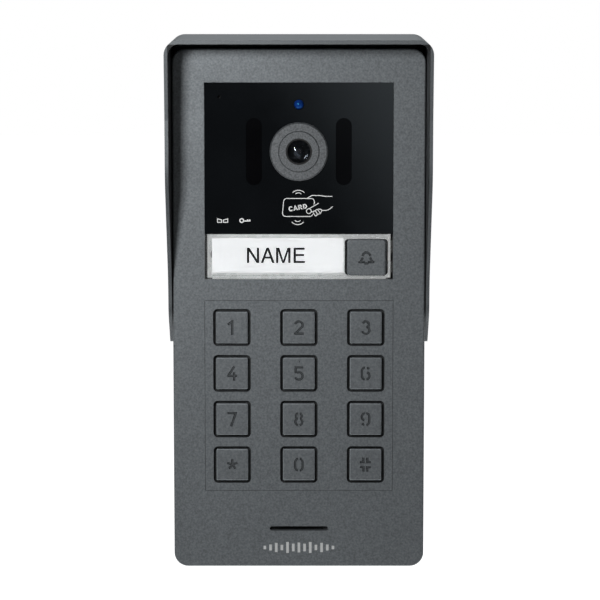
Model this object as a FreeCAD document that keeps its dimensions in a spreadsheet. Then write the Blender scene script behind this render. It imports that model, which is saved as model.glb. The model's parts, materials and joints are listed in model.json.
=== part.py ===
import FreeCAD, Part

import math
import os

import Sketcher

# Door intercom panel, surface mounted. Millimetres. The origin is the centre of the wall face, +Z is up and
# the panel faces -Y, so a depth measured forward from the wall is minus Y.

Vector = FreeCAD.Vector

SIZES = {
    # front casing
    "body_width": 90.0,
    "body_height": 186.0,
    "body_corner": 5.0,
    "casing_back": 1.7,
    "front_face": 24.0,
    "front_wall": 3.0,
    "side_wall": 2.0,
    "edge_round": 0.6,
    "opening_half": 33.6,
    "ledge": 2.0,
    "window_bottom": 27.4,
    "window_top": 81.15,
    "name_bottom": 11.2,
    "seat_depth": 1.8,
    "fit_gap": 0.1,
    "slot_half": 10.5,
    "slot_level": -79.1,
    "slot_height": 1.6,
    # rain hood
    "hood_half": 46.6,
    "hood_wall": 1.4,
    "hood_top": 98.6,
    "hood_rim_top": 95.6,
    "hood_corner": 5.2,
    "hood_reach": 44.0,
    "hood_end": -12.4,
    "hood_plate": 1.4,
    "plate_half": 43.0,
    "plate_bottom": -91.0,
    "plate_corner": 4.0,
    "hood_brow_reach": 41.2,
    "hood_brow_level": 68.0,
    "hood_cheek_reach": 41.0,
    "hood_cheek_level": 47.0,
    "hood_jaw_reach": 25.2,
    "hood_jaw_level": 11.0,
    "hood_chin_reach": 24.3,
    "hood_chin_level": -1.0,
    "hood_tail_reach": 14.2,
    "hood_cheek_round": 26.0,
    "hood_jaw_round": 20.0,
    "hood_chin_round": 10.0,
    "hood_tail_round": 3.0,
    # wall bracket
    "bracket_front": 2.6,
    "bracket_half": 36.0,
    "bracket_reach": 86.0,
    "bracket_corner": 3.0,
    "wall_screw_x": 60.0,
    "wall_screw_z": 120.0,
    "wall_screw_hole": 2.25,
    "hook_x": 24.0,
    "hook_half": 4.0,
    "hook_level": 80.0,
    "hook_lip": 5.0,
    "sheet_steel": 1.2,
    "hook_rise": 4.0,
    "hook_rib_half": 6.0,
    "hook_rib_back": 3.4,
    "hook_rib_gap": 0.3,
    "lug_half": 6.0,
    "lug_level": -84.0,
    "lock_depth": 5.0,
    "lock_radius": 1.5,
    "lock_head": 2.7,
    "lock_tip": -80.0,
    "lock_socket": 0.8,
    "hole_gap": 0.2,
    # cable entry
    "cable_level": -28.0,
    "cable_bore": 4.0,
    "grommet_neck": 7.0,
    "grommet_flange": 9.0,
    "grommet_lip": 1.2,
    # rear housing
    "housing_gap": 0.3,
    "housing_wall": 1.6,
    "housing_back": 3.0,
    "housing_floor": 8.0,
    "housing_floor_thick": 2.0,
    "housing_rim": 19.4,
    "corner_screw_x": 37.5,
    "corner_screw_z": 84.0,
    "middle_screw_z": 9.0,
    "boss_radius": 2.8,
    "boss_pilot": 1.25,
    "screw_radius": 1.2,
    "screw_head": 2.5,
    "screw_head_thick": 1.6,
    "screw_length": 8.0,
    "screw_slot": 0.6,
    "recess_share": 0.6,
    "thread_gap": 0.02,
    "overrun": 1.0,
    "round_slack": 0.001,
    # camera window
    "window_thick": 1.5,
    "window_half": 33.5,
    "camera_level": 56.7,
    "ring_radius": 10.37,
    "ir_x": 15.95,
    "ir_width": 5.65,
    "ir_bottom": 44.8,
    "ir_top": 68.6,
    "ir_sink": 0.2,
    "led_level": 73.35,
    "led_radius": 1.75,
    "led_tip": 24.5,
    "mic_x": -28.3,
    "mic_level": 76.1,
    "mic_hole": 0.55,
    "mic_radius": 2.0,
    "mic_front": 21.8,
    # camera
    "ring_front": 24.8,
    "ring_flange": 13.4,
    "ring_flange_thick": 0.7,
    "ball_depth": 17.8,
    "ball_radius": 10.0,
    "seat_radius": 10.15,
    "ring_start": 6.0,
    "ball_face": 7.15,
    "ball_rear": 4.5,
    "cradle_inner": 10.4,
    "cradle_outer": 12.2,
    "cradle_half": 1.2,
    "pin_radius": 0.6,
    "pin_gap": 0.06,
    "pin_reach": 1.5,
    "bracket_tube_inner": 12.7,
    "bracket_tube_outer": 13.9,
    "bracket_tube_back": 14.0,
    "barrel_radius": 4.7,
    "barrel_front": 7.0,
    "iris_radius": 1.6,
    "front_glass": 4.1,
    "front_glass_dome": 8.0,
    "front_glass_base": 5.6,
    "inner_glass": 2.6,
    "inner_glass_depth": 1.6,
    "inner_glass_thick": 1.4,
    "sensor_board_half": 6.5,
    "sensor_board_thick": 1.0,
    "sensor_half": 2.6,
    "sensor_thick": 1.2,
    "barrel_bore": 3.9,
    # infrared board
    "ir_board_back": 17.0,
    "board_thick": 1.2,
    "ir_board_half": 38.0,
    "ir_board_bottom": 30.0,
    "ir_board_top": 81.0,
    "ir_board_hole": 14.2,
    "ir_led_radius": 1.5,
    "ir_led_x": 16.3,
    "ir_led_pitch": 5.6,
    "ir_led_tip": 21.7,
    "coil_margin": 1.2,
    "coil_width": 1.4,
    "coil_thick": 0.3,
    "post_x": 35.5,
    "post_low": 33.5,
    "post_high": 76.5,
    "post_radius": 2.2,
    # name plate and call button
    "name_front": 23.8,
    "name_pane": 1.5,
    "name_back": 18.8,
    "name_left": -33.1,
    "name_right": 31.7,
    "name_lug_right": 33.2,
    "name_top": 27.3,
    "name_base": 11.3,
    "name_skirt": 1.0,
    "name_skirt_half": 31.0,
    "lug_high_top": 25.2,
    "lug_high_bottom": 20.9,
    "lug_low_top": 17.8,
    "lug_low_bottom": 13.7,
    "rib_left": -31.7,
    "rib_right": -31.2,
    "rib_high_top": 24.6,
    "rib_high_bottom": 21.7,
    "rib_low_top": 17.6,
    "rib_low_bottom": 14.4,
    "label_left": -31.0,
    "label_right": 15.9,
    "label_bottom": 13.5,
    "label_top": 25.9,
    "label_thick": 0.3,
    "diffuser_front": 21.9,
    "diffuser_thick": 2.0,
    "name_board_back": 13.4,
    "name_board_half": 33.0,
    "name_board_bottom": 11.0,
    "name_board_top": 28.0,
    "name_led_pitch": 14.0,
    "name_led_half": 1.4,
    "name_led_thick": 0.8,
    "call_x": 24.1,
    "call_level": 19.04,
    "call_width": 13.8,
    "call_height": 12.98,
    "call_corner": 1.2,
    "call_face": 24.3,
    "call_gap": 0.15,
    "call_flange_width": 15.4,
    "call_flange_height": 12.8,
    "call_flange_back": 20.7,
    "call_flange_thick": 1.1,
    "call_post": 2.0,
    "call_post_tip": 19.6,
    "switch_half": 3.0,
    "switch_front": 17.9,
    "switch_cap": 1.7,
    "switch_cap_front": 18.5,
    # keypad
    "keypad_half": 33.6,
    "keypad_top": 3.5,
    "keypad_bottom": -65.1,
    "keypad_seam": 0.12,
    "key_pitch_x": 23.95,
    "key_pitch_z": 16.55,
    "key_row": -6.1,
    "key_hole_width": 13.45,
    "key_hole_height": 13.3,
    "key_hole_corner": 1.6,
    "key_width": 11.45,
    "key_height": 11.5,
    "key_corner": 0.5,
    "key_round": 0.5,
    "key_face": 24.2,
    "key_flange": 14.6,
    "key_back": 20.9,
    "key_flange_thick": 1.0,
    "glyph_depth": 0.45,
    "glyph_stroke": 0.85,
    "dot_radius": 0.45,
    "dot_rise": 4.2,
    "mat_back": 17.2,
    "mat_thick": 0.8,
    "mat_dome": 4.5,
    "mat_dome_front": 19.8,
    "mat_pocket": 3.3,
    "mat_pocket_front": 19.0,
    "mat_rim_half": 35.6,
    "mat_rim": 2.6,
    "mat_rim_top": 5.4,
    "mat_rim_bottom": -66.8,
    "contact_radius": 2.5,
    "contact_thick": 0.2,
    "keypad_board_back": 16.0,
    "plate_post": 2.2,
    "post_row": -14.375,
    "post_pitch": 33.1,
    # main board
    "main_back": 12.6,
    "main_thick": 1.6,
    "main_half": 34.0,
    "main_top": 9.0,
    "main_bottom": -86.0,
    "main_post_x": 30.0,
    "main_post_high": 4.0,
    "main_post_low": -62.0,
    "main_post_radius": 2.5,
    "board_screw": 1.0,
    "board_screw_hole": 1.15,
    "board_screw_head": 1.9,
    "board_screw_head_thick": 1.2,
    "board_screw_length": 2.2,
    "terminal_half": 20.6,
    "terminal_bottom": -5.0,
    "terminal_top": 5.0,
    "terminal_back": 4.0,
    "terminal_pitch": 5.08,
    "terminal_screw": 1.5,
    "terminal_mouth": 3.2,
    "terminal_opening": 22.6,
    "opening_gap": 2.0,
    "speaker_radius": 10.6,
    "speaker_level": -78.2,
    "speaker_back": 14.8,
    "speaker_front": 20.0,
    "magnet_radius": 7.5,
    "magnet_front": 17.4,
    "speaker_seal": 1.6,
    "relay_x": -24.5,
    "relay_level": -76.0,
    "relay_width": 15.0,
    "relay_height": 10.0,
    "relay_front": 19.4,
    "tamper_x": -26.0,
    "tamper_level": -44.0,
    "tamper_half": 3.4,
    "plunger_radius": 1.4,
    "plunger_tip": 2.65,
    "plunger_collar": 2.2,
    "plunger_collar_thick": 1.0,
    "plunger_collar_gap": 1.0,
    "plunger_inner": 11.6,
    "plunger_gap": 0.1,
    "trimmer_x": 26.0,
    "trimmer_level": -36.0,
    "trimmer_half": 3.5,
    "rotor_radius": 1.6,
    "rotor_back": 9.0,
    "rotor_front": 10.9,
    "rotor_slot": 0.5,
    "rotor_gap": 0.08,
    "service_hole": 3.0,
    "capacitor_radius": 3.0,
}

# Components on the main board: chips as (across, up, half width), capacitors as (across, up), and the coil
# as (left, right, bottom, top).
CHIPS = ((0, -22, 6), (-18, -36, 4), (22, -48, 3.5))
CAPACITORS = ((20, -72), (28, -72))
COIL = (17, 31, -85, -78)

KEY_ROWS = (
    ("key_1", "key_2", "key_3"),
    ("key_4", "key_5", "key_6"),
    ("key_7", "key_8", "key_9"),
    ("key_star", "key_0", "key_hash"),
)


class Dim:
    """A number and the sheet expression that gives it, so that a size stays bound when it is worked out."""

    def __init__(self, value, text):
        self.value = float(value)
        self.text = text

    def __add__(self, other):
        other = dim(other)
        return Dim(self.value + other.value, f"({self.text} + {other.text})")

    def __sub__(self, other):
        other = dim(other)
        return Dim(self.value - other.value, f"({self.text} - {other.text})")

    def __mul__(self, other):
        other = dim(other)
        return Dim(self.value * other.value, f"({self.text} * {other.text})")

    def __truediv__(self, other):
        other = dim(other)
        return Dim(self.value / other.value, f"({self.text} / {other.text})")

    def __neg__(self):
        return Dim(-self.value, f"(0 - {self.text})")

    def __radd__(self, other):
        return dim(other) + self

    def __rsub__(self, other):
        return dim(other) - self

    def __rmul__(self, other):
        return dim(other) * self


def dim(value):
    return value if isinstance(value, Dim) else Dim(value, f"{value:.6f}")


class Cells:
    """Every driving size by name: S.body_width is the cell with that alias."""

    def __getattr__(self, name):
        return Dim(SIZES[name], f"Sizes.{name}")


S = Cells()
ZERO = dim(0)

doc = FreeCAD.newDocument("door_intercom_panel")


def fill_sheet():
    sheet = doc.addObject("Spreadsheet::Sheet", "Sizes")
    for row, (name, value) in enumerate(SIZES.items(), start=1):
        sheet.set(f"A{row}", name)
        sheet.set(f"B{row}", str(value))
        sheet.setAlias(f"B{row}", name)
    doc.recompute()


def bind(target, path, size):
    target.setExpression(path, dim(size).text)


# ---- outlines, drawn in the plane of the panel: X across and Z up ----


class Polygon:
    """A closed outline of straight lines through the given (across, up) corners."""

    def __init__(self, *corners):
        self.corners = [(dim(x), dim(z)) for x, z in corners]

    def draw(self, sketch):
        points = [Vector(x.value, z.value, 0) for x, z in self.corners]
        first = sketch.GeometryCount
        count = len(points)
        for n in range(count):
            sketch.addGeometry(Part.LineSegment(points[n], points[(n + 1) % count]))
        for n in range(count):
            sketch.addConstraint(Sketcher.Constraint("Coincident", first + n, 2, first + (n + 1) % count, 1))
        for n, (x, z) in enumerate(self.corners):
            place_point(sketch, first + n, 1, x, z)


class Box2D:
    """A rectangle between two X and two Z positions, with rounded corners if a corner radius is given."""

    def __init__(self, left, right, bottom, top, corner=None):
        self.left, self.right = dim(left), dim(right)
        self.bottom, self.top = dim(bottom), dim(top)
        self.corner = corner

    def draw(self, sketch):
        if self.corner is None:
            Polygon(
                (self.left, self.bottom),
                (self.right, self.bottom),
                (self.right, self.top),
                (self.left, self.top),
            ).draw(sketch)
        else:
            self.draw_rounded(sketch)

    def draw_rounded(self, sketch):
        left, right, bottom, top = (v.value for v in (self.left, self.right, self.bottom, self.top))
        r = self.corner.value
        ends = [
            (left + r, bottom, right - r, bottom),
            (right, bottom + r, right, top - r),
            (right - r, top, left + r, top),
            (left, top - r, left, bottom + r),
        ]
        centres = [(right - r, bottom + r), (right - r, top - r), (left + r, top - r), (left + r, bottom + r)]
        first = sketch.GeometryCount
        for n, (ax, az, bx, bz) in enumerate(ends):
            sketch.addGeometry(Part.LineSegment(Vector(ax, az, 0), Vector(bx, bz, 0)))
            start = math.radians(90 * n - 90)
            circle = Part.Circle(Vector(*centres[n], 0), Vector(0, 0, 1), r)
            sketch.addGeometry(Part.ArcOfCircle(circle, start, start + math.pi / 2))
        for n in range(4):
            line = first + 2 * n
            arc = line + 1
            after = first + (2 * n + 2) % 8
            sketch.addConstraint(Sketcher.Constraint("Tangent", line, 2, arc, 1))
            sketch.addConstraint(Sketcher.Constraint("Tangent", arc, 2, after, 1))
            sketch.addConstraint(Sketcher.Constraint("Vertical" if n % 2 else "Horizontal", line))
            if n:
                sketch.addConstraint(Sketcher.Constraint("Equal", first + 1, arc))
        radius = sketch.addConstraint(Sketcher.Constraint("Radius", first + 1, r))
        sketch.setExpression(f"Constraints[{radius}]", self.corner.text)
        place_level(sketch, "DistanceY", first, 1, self.bottom)
        place_level(sketch, "DistanceX", first + 2, 1, self.right)
        place_level(sketch, "DistanceY", first + 4, 1, self.top)
        place_level(sketch, "DistanceX", first + 6, 1, self.left)


class Disc:
    """A circle about the given (across, up) centre."""

    def __init__(self, x, z, radius):
        self.x, self.z, self.radius = dim(x), dim(z), dim(radius)

    def draw(self, sketch):
        centre = Vector(self.x.value, self.z.value, 0)
        n = sketch.addGeometry(Part.Circle(centre, Vector(0, 0, 1), self.radius.value))
        radius = sketch.addConstraint(Sketcher.Constraint("Radius", n, self.radius.value))
        sketch.setExpression(f"Constraints[{radius}]", self.radius.text)
        place_point(sketch, n, 3, self.x, self.z)


def place_level(sketch, kind, geometry, end, level):
    """Ties one coordinate of a point to a sheet expression, or to the axis where that coordinate is zero."""
    if level.text == ZERO.text:
        axis = -2 if kind == "DistanceX" else -1
        sketch.addConstraint(Sketcher.Constraint("PointOnObject", geometry, end, axis))
        return
    n = sketch.addConstraint(Sketcher.Constraint(kind, -1, 1, geometry, end, level.value))
    sketch.setExpression(f"Constraints[{n}]", level.text)


def place_point(sketch, geometry, end, x, z):
    place_level(sketch, "DistanceX", geometry, end, x)
    place_level(sketch, "DistanceY", geometry, end, z)


# ---- features of a PartDesign body ----


def new_body(name):
    body = doc.addObject("PartDesign::Body", name)
    body.Label = name
    return body


def new_sketch(body, role, outlines, x=ZERO, y=ZERO, offset=ZERO):
    """A sketch on one of the body's origin planes. On XZ_Plane the offset is the depth from the wall."""
    plane = next(f for f in body.Origin.OriginFeatures if f.Role == role)
    sketch = body.newObject("Sketcher::SketchObject", f"{body.Name}_sketch")
    sketch.AttachmentSupport = [(plane, "")]
    sketch.MapMode = "FlatFace"
    for axis, value in zip("xyz", (x, y, offset)):
        bind(sketch, f"AttachmentOffset.Base.{axis}", value)
    for outline in outlines:
        outline.draw(sketch)
    return sketch


def volume(body):
    doc.recompute()
    return body.Shape.Volume


def add(body, back, front, *outlines):
    """Pads the outlines from one depth to another."""
    before = volume(body) if body.Tip else 0.0
    pad = body.newObject("PartDesign::Pad", f"{body.Name}_pad")
    pad.Profile = new_sketch(body, "XZ_Plane", outlines, offset=dim(back))
    bind(pad, "Length", dim(front) - back)
    if volume(body) <= before:
        raise ValueError(f"{body.Name}: a pad added nothing")


def remove(body, back, front, *outlines):
    """Pockets the outlines between two depths."""
    before = volume(body)
    pocket = body.newObject("PartDesign::Pocket", f"{body.Name}_pocket")
    pocket.Profile = new_sketch(body, "XZ_Plane", outlines, offset=dim(front))
    bind(pocket, "Length", dim(front) - back)
    if volume(body) >= before:
        raise ValueError(f"{body.Name}: a pocket removed nothing")


def turn(body, x, z, *corners):
    """Revolves a half section, given as (radius, depth) corners, about the line along Y through (x, z)."""
    outline = Polygon(*[(radius, -dim(depth)) for radius, depth in corners])
    revolution = body.newObject("PartDesign::Revolution", f"{body.Name}_turn")
    sketch = new_sketch(body, "XY_Plane", [outline], x=dim(x), offset=dim(z))
    revolution.Profile = sketch
    revolution.ReferenceAxis = (sketch, ["V_Axis"])
    revolution.Angle = 360
    doc.recompute()


def soften(body, radius, wanted):
    """Rounds the body's edges whose middle point passes the test, called with (x, depth, z)."""
    doc.recompute()
    names = []
    for n, edge in enumerate(body.Shape.Edges, start=1):
        box = edge.BoundBox
        if wanted(edge, box.Center.x, -box.Center.y, box.Center.z):
            names.append(f"Edge{n}")
    if not names:
        raise ValueError(f"{body.Name}: no edges to round")
    rounded = body.Tip
    fillet = body.newObject("PartDesign::Fillet", f"{body.Name}_round")
    fillet.Base = (rounded, names)
    bind(fillet, "Radius", radius)
    doc.recompute()


def at_depth(edge, depth):
    return abs(edge.BoundBox.YMin + depth) < 1e-4 and abs(edge.BoundBox.YMax + depth) < 1e-4


# ---- Part primitives ----


def block(left, right, back, front, bottom, top):
    solid = doc.addObject("Part::Box", "block")
    bind(solid, "Length", dim(right) - left)
    bind(solid, "Width", dim(front) - back)
    bind(solid, "Height", dim(top) - bottom)
    bind(solid, "Placement.Base.x", left)
    bind(solid, "Placement.Base.y", -dim(front))
    bind(solid, "Placement.Base.z", bottom)
    return solid


def cylinder(radius, length, x, depth, z, turned):
    solid = doc.addObject("Part::Cylinder", "rod")
    solid.Placement.Rotation = turned
    bind(solid, "Radius", radius)
    bind(solid, "Height", length)
    bind(solid, "Placement.Base.x", x)
    bind(solid, "Placement.Base.y", -dim(depth))
    bind(solid, "Placement.Base.z", z)
    return solid


def rod(radius, back, front, x, z):
    """A cylinder along Y between two depths."""
    return cylinder(radius, dim(front) - back, x, back, z, FreeCAD.Rotation(Vector(1, 0, 0), 90))


def rod_across(radius, left, right, depth, z):
    return cylinder(radius, dim(right) - left, left, depth, z, FreeCAD.Rotation(Vector(0, 1, 0), 90))


def rod_up(radius, bottom, top, x, depth):
    return cylinder(radius, dim(top) - bottom, x, depth, bottom, FreeCAD.Rotation())


def sphere(radius, x, depth, z):
    solid = doc.addObject("Part::Sphere", "ball")
    bind(solid, "Radius", radius)
    bind(solid, "Placement.Base.x", x)
    bind(solid, "Placement.Base.y", -dim(depth))
    bind(solid, "Placement.Base.z", z)
    return solid


def fuse(*solids):
    joined = doc.addObject("Part::MultiFuse", "fuse")
    joined.Shapes = list(solids)
    return joined


def overlap(first, second):
    kept = doc.addObject("Part::MultiCommon", "overlap")
    kept.Shapes = [first, second]
    return kept


def cut(base, *tools):
    result = doc.addObject("Part::Cut", "cut")
    result.Base = base
    result.Tool = tools[0] if len(tools) == 1 else fuse(*tools)
    return result


def group(*solids):
    """Separate solids of one kind, kept apart in one node."""
    together = doc.addObject("Part::Compound", "group")
    together.Links = list(solids)
    return together


# ---- engraved figures, made of straight and curved strokes ----


class Straight:
    """A straight stroke between two points, square at both ends."""

    def __init__(self, ax, az, bx, bz):
        self.ends = (ax, az, bx, bz)

    def mirrored(self):
        ax, az, bx, bz = self.ends
        return Straight(-ax, az, -bx, bz)

    def upside_down(self):
        return Straight(*[-v for v in self.ends])

    def face(self):
        ax, az, bx, bz = self.ends
        start, end = Vector(ax, az, 0), Vector(bx, bz, 0)
        along = (end - start).normalize() * (SIZES["glyph_stroke"] / 2)
        side = Vector(-along.y, along.x, 0)
        start, end = start - along, end + along
        return Part.Face(Part.makePolygon([start + side, start - side, end - side, end + side, start + side]))


class Bow:
    """A curved stroke about a centre, anticlockwise between two angles in degrees."""

    def __init__(self, cx, cz, radius, first_angle, last_angle):
        self.centre = (cx, cz)
        self.radius = radius
        self.angles = (first_angle, last_angle)

    def mirrored(self):
        first_angle, last_angle = self.angles
        return Bow(-self.centre[0], self.centre[1], self.radius, 180 - last_angle, 180 - first_angle)

    def upside_down(self):
        first_angle, last_angle = self.angles
        return Bow(-self.centre[0], -self.centre[1], self.radius, first_angle + 180, last_angle + 180)

    def face(self):
        half = SIZES["glyph_stroke"] / 2
        first_angle, last_angle = self.angles
        angles = (first_angle, (first_angle + last_angle) / 2, last_angle)
        outer, inner = (
            [polar(*self.centre, r, angle) for angle in angles]
            for r in (self.radius + half, self.radius - half)
        )
        edges = [
            Part.Arc(*outer).toShape(),
            Part.makeLine(outer[2], inner[2]),
            Part.Arc(inner[2], inner[1], inner[0]).toShape(),
            Part.makeLine(inner[0], outer[0]),
        ]
        return Part.Face(Part.Wire(edges))


def polar(cx, cz, radius, angle):
    turned = math.radians(angle)
    return Vector(cx + radius * math.cos(turned), cz + radius * math.sin(turned), 0)


class Figure:
    """Strokes merged into one outline, shifted to where the figure stands."""

    def __init__(self, strokes, x, z):
        faces = [stroke.face() for stroke in strokes]
        merged = Part.makeShell(faces[0].fuse(faces[1:]).Faces).removeSplitter()
        merged.translate(Vector(x.value, z.value, 0))
        self.edges = merged.Edges

    def draw(self, sketch):
        for edge in self.edges:
            start, end = (edge.valueAt(p) for p in (edge.FirstParameter, edge.LastParameter))
            if isinstance(edge.Curve, Part.Line):
                sketch.addGeometry(Part.LineSegment(start, end))
                continue
            middle = edge.valueAt((edge.FirstParameter + edge.LastParameter) / 2)
            if (middle - start).cross(end - start).z < 0:
                start, end = end, start
            sketch.addGeometry(Part.Arc(start, middle, end))


def mirrored(strokes):
    return [stroke.mirrored() for stroke in strokes]


def upside_down(strokes):
    return [stroke.upside_down() for stroke in strokes]


def figure_strokes():
    """The strokes of each key's figure, 5.2 high and 3.5 wide, with a bridge where it would close."""
    nought = [
        Bow(0, 0.85, 1.35, 102, 180),
        Straight(-1.35, 0.475, -1.35, -0.475),
        Bow(0, -0.85, 1.35, 180, 258),
    ]
    six = nought + [Bow(0, 0.85, 1.35, 30, 70), Bow(0, -0.85, 1.35, -78, 70)]
    eight = [Bow(0, 1.15, 1.05, 106, 250), Bow(0, -0.95, 1.25, 112, 257)]
    corner = [Straight(-0.7, 0.92, -0.7, 2.15), Straight(-1.5, 0.92, -0.7, 0.92)]
    tips = [polar(0, 0.1, 1.5, 90 + 72 * n) for n in range(5)]
    return {
        "key_0": nought + mirrored(nought),
        "key_1": [Straight(0.1, 2.2, 0.1, -2.2), Straight(0.0, 2.15, -1.15, 1.3)],
        "key_2": [
            Bow(0, 0.9, 1.33, -38, 165),
            Straight(0.9, 0.05, -1.2, -2.1),
            Straight(-1.2, -2.2, 1.3, -2.2),
        ],
        "key_3": [Bow(0, 1.15, 1.08, -80, 160), Bow(0, -0.92, 1.3, -165, 80)],
        "key_4": [
            Straight(0.55, 2.1, -1.2, -0.6),
            Straight(-1.2, -0.85, 1.4, -0.85),
            Straight(0.75, 0.1, 0.75, -2.2),
        ],
        "key_5": [
            Straight(-1.15, 2.2, 1.15, 2.2),
            Straight(-1.15, 2.2, -1.15, 0.5),
            Bow(0, -0.87, 1.35, -160, 128),
        ],
        "key_6": six,
        "key_7": [Straight(-1.25, 2.2, 1.3, 2.2), Straight(1.2, 2.0, -0.25, -2.2)],
        "key_8": eight + mirrored(eight),
        "key_9": upside_down(six),
        "key_star": [Straight(0, 0.1, tip.x, tip.y) for tip in tips],
        "key_hash": corner + mirrored(corner) + upside_down(corner + mirrored(corner)),
    }


def bell_strokes():
    """An outlined bell with its clapper."""
    side = [Straight(-1.5, -0.85, -1.95, -1.7), Straight(-2.45, -2.1, -0.95, -2.1)]
    return [Bow(0, 0, 1.35, 5, 175), Straight(-0.3, -2.55, 0.3, -2.55)] + side + mirrored(side)


# ---- casing, hood and fixing ----


def body_outline(inset):
    half_width = S.body_width / 2 - inset
    half_height = S.body_height / 2 - inset
    return Box2D(-half_width, half_width, -half_height, half_height, S.body_corner - inset)


def corner_screws():
    """The six places where the rear housing is screwed to the front casing."""
    heights = (S.corner_screw_z, S.middle_screw_z, -S.corner_screw_z)
    return [(side * S.corner_screw_x, z) for z in heights for side in (-1, 1)]


def ir_board_posts():
    return [(side * S.post_x, z) for z in (S.post_low, S.post_high) for side in (-1, 1)]


def wall_screws():
    return [
        (across * S.wall_screw_x / 2, up * S.wall_screw_z / 2) for across in (-1, 1) for up in (-1, 1)
    ]


def discs(places, radius):
    return [Disc(x, z, radius) for x, z in places]


def front_casing():
    body = new_body("casing_shell")
    inner_face = S.front_face - S.front_wall
    seat = S.front_face - S.seat_depth
    inside = S.opening_half - S.ledge
    add(body, S.casing_back, S.front_face, body_outline(ZERO))
    soften(body, S.edge_round, lambda edge, x, d, z: at_depth(edge, SIZES["front_face"]))
    remove(body, S.casing_back, inner_face, body_outline(S.side_wall))
    floor = S.housing_floor + S.housing_floor_thick + S.fit_gap
    add(body, floor, inner_face + S.edge_round, *discs(corner_screws(), S.boss_radius))
    remove(body, floor, inner_face, *discs(corner_screws(), S.boss_pilot))
    ir_front = S.ir_board_back + S.board_thick
    add(body, ir_front, inner_face + S.edge_round, *discs(ir_board_posts(), S.post_radius))
    remove(body, ir_front, inner_face, *discs(ir_board_posts(), S.board_screw_hole))
    remove(
        body,
        seat,
        S.front_face,
        Box2D(-S.opening_half, S.opening_half, S.name_bottom, S.window_top),
        Box2D(
            -S.keypad_half - S.keypad_seam,
            S.keypad_half + S.keypad_seam,
            S.keypad_bottom - S.keypad_seam,
            S.keypad_top + S.keypad_seam,
        ),
    )
    remove(
        body,
        inner_face,
        seat,
        Box2D(-inside, inside, S.window_bottom + S.ledge, S.window_top - S.ledge),
        Box2D(-S.opening_half, S.opening_half, S.name_bottom, S.window_bottom),
        Box2D(-inside, inside, S.keypad_bottom + S.ledge, S.keypad_top - S.ledge),
    )
    half = S.slot_height / 2
    remove(
        body,
        inner_face,
        S.front_face,
        Box2D(-S.slot_half, S.slot_half, S.slot_level - half, S.slot_level + half, half - S.round_slack),
    )
    bottom = -S.body_height / 2
    top = bottom + S.side_wall + S.overrun
    screw = rod_up(S.lock_radius + S.hole_gap, bottom - S.overrun, top, ZERO, S.lock_depth)
    return named("front_casing", cut(body, screw, lock_countersink(S.hole_gap)))


def lock_countersink(extra):
    """The cone of the locking screw's head, with its wide end flush with the casing's bottom."""
    cone = doc.addObject("Part::Cone", "countersink")
    bind(cone, "Radius1", S.lock_head + extra)
    bind(cone, "Radius2", S.lock_radius + extra)
    bind(cone, "Height", S.lock_head - S.lock_radius)
    bind(cone, "Placement.Base.y", -S.lock_depth)
    bind(cone, "Placement.Base.z", -S.body_height / 2)
    return cone


def named(name, solid):
    solid.Label = name
    return solid


def hood_section(half, top, bottom, corner):
    return Box2D(-half, half, bottom, top, corner)


def hood_loft(body, kind, inset, bottom, back, front):
    """A shell or a hollow between the wall and the rim, whose roof slopes down to the front."""
    loft = body.newObject(kind, f"{body.Name}_loft")
    sections = []
    for depth in (back, front):
        share = (depth - ZERO) / S.hood_reach
        top = S.hood_top - (S.hood_top - S.hood_rim_top) * share - inset
        outline = hood_section(S.hood_half - inset, top, bottom, S.hood_corner - inset)
        sections.append(new_sketch(body, "XZ_Plane", [outline], offset=depth))
    loft.Profile = sections[0]
    loft.Sections = sections[1:]
    loft.Ruled = True
    doc.recompute()


def rain_hood():
    body = new_body("rain_hood")
    low = S.hood_end - S.hood_corner * 2
    hood_loft(body, "PartDesign::AdditiveLoft", ZERO, low, ZERO, S.hood_reach)
    reach = S.hood_reach + S.overrun
    hood_loft(body, "PartDesign::SubtractiveLoft", S.hood_wall, low - S.hood_corner * 2, S.hood_plate, reach)
    side_profile = Polygon(
        (-reach, S.hood_top),
        (-S.hood_reach, S.hood_top),
        (-S.hood_reach, S.hood_rim_top - S.hood_corner / 3),
        (-S.hood_brow_reach, S.hood_brow_level),
        (-S.hood_cheek_reach, S.hood_cheek_level),
        (-S.hood_jaw_reach, S.hood_jaw_level),
        (-S.hood_chin_reach, S.hood_chin_level),
        (-S.hood_tail_reach, S.hood_end),
        (S.overrun, S.hood_end),
        (S.overrun, low - S.overrun),
        (-reach, low - S.overrun),
    )
    pocket = body.newObject("PartDesign::Pocket", "rain_hood_side_cut")
    pocket.Profile = new_sketch(body, "YZ_Plane", [side_profile])
    pocket.Type = "ThroughAll"
    pocket.Midplane = True
    doc.recompute()
    vertical = [
        ("hood_cheek_reach", "hood_cheek_level", S.hood_cheek_round),
        ("hood_jaw_reach", "hood_jaw_level", S.hood_jaw_round),
        ("hood_chin_reach", "hood_chin_level", S.hood_chin_round),
        ("hood_tail_reach", "hood_end", S.hood_tail_round),
    ]
    for reach, level, radius in vertical:
        soften(
            body,
            radius,
            lambda edge, x, d, z, r=reach, v=level: abs(d - SIZES[r]) < 0.01 and abs(z - SIZES[v]) < 0.01,
        )
    tail = (S.plate_bottom, S.hood_end + S.hood_corner)
    add(body, ZERO, S.hood_plate, Box2D(-S.plate_half, S.plate_half, *tail, S.plate_corner))
    cable_hole = Disc(ZERO, S.cable_level, S.grommet_flange + S.housing_gap)
    remove(body, ZERO, S.hood_plate, cable_hole, *discs(wall_screws(), S.wall_screw_hole))
    return body


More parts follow.
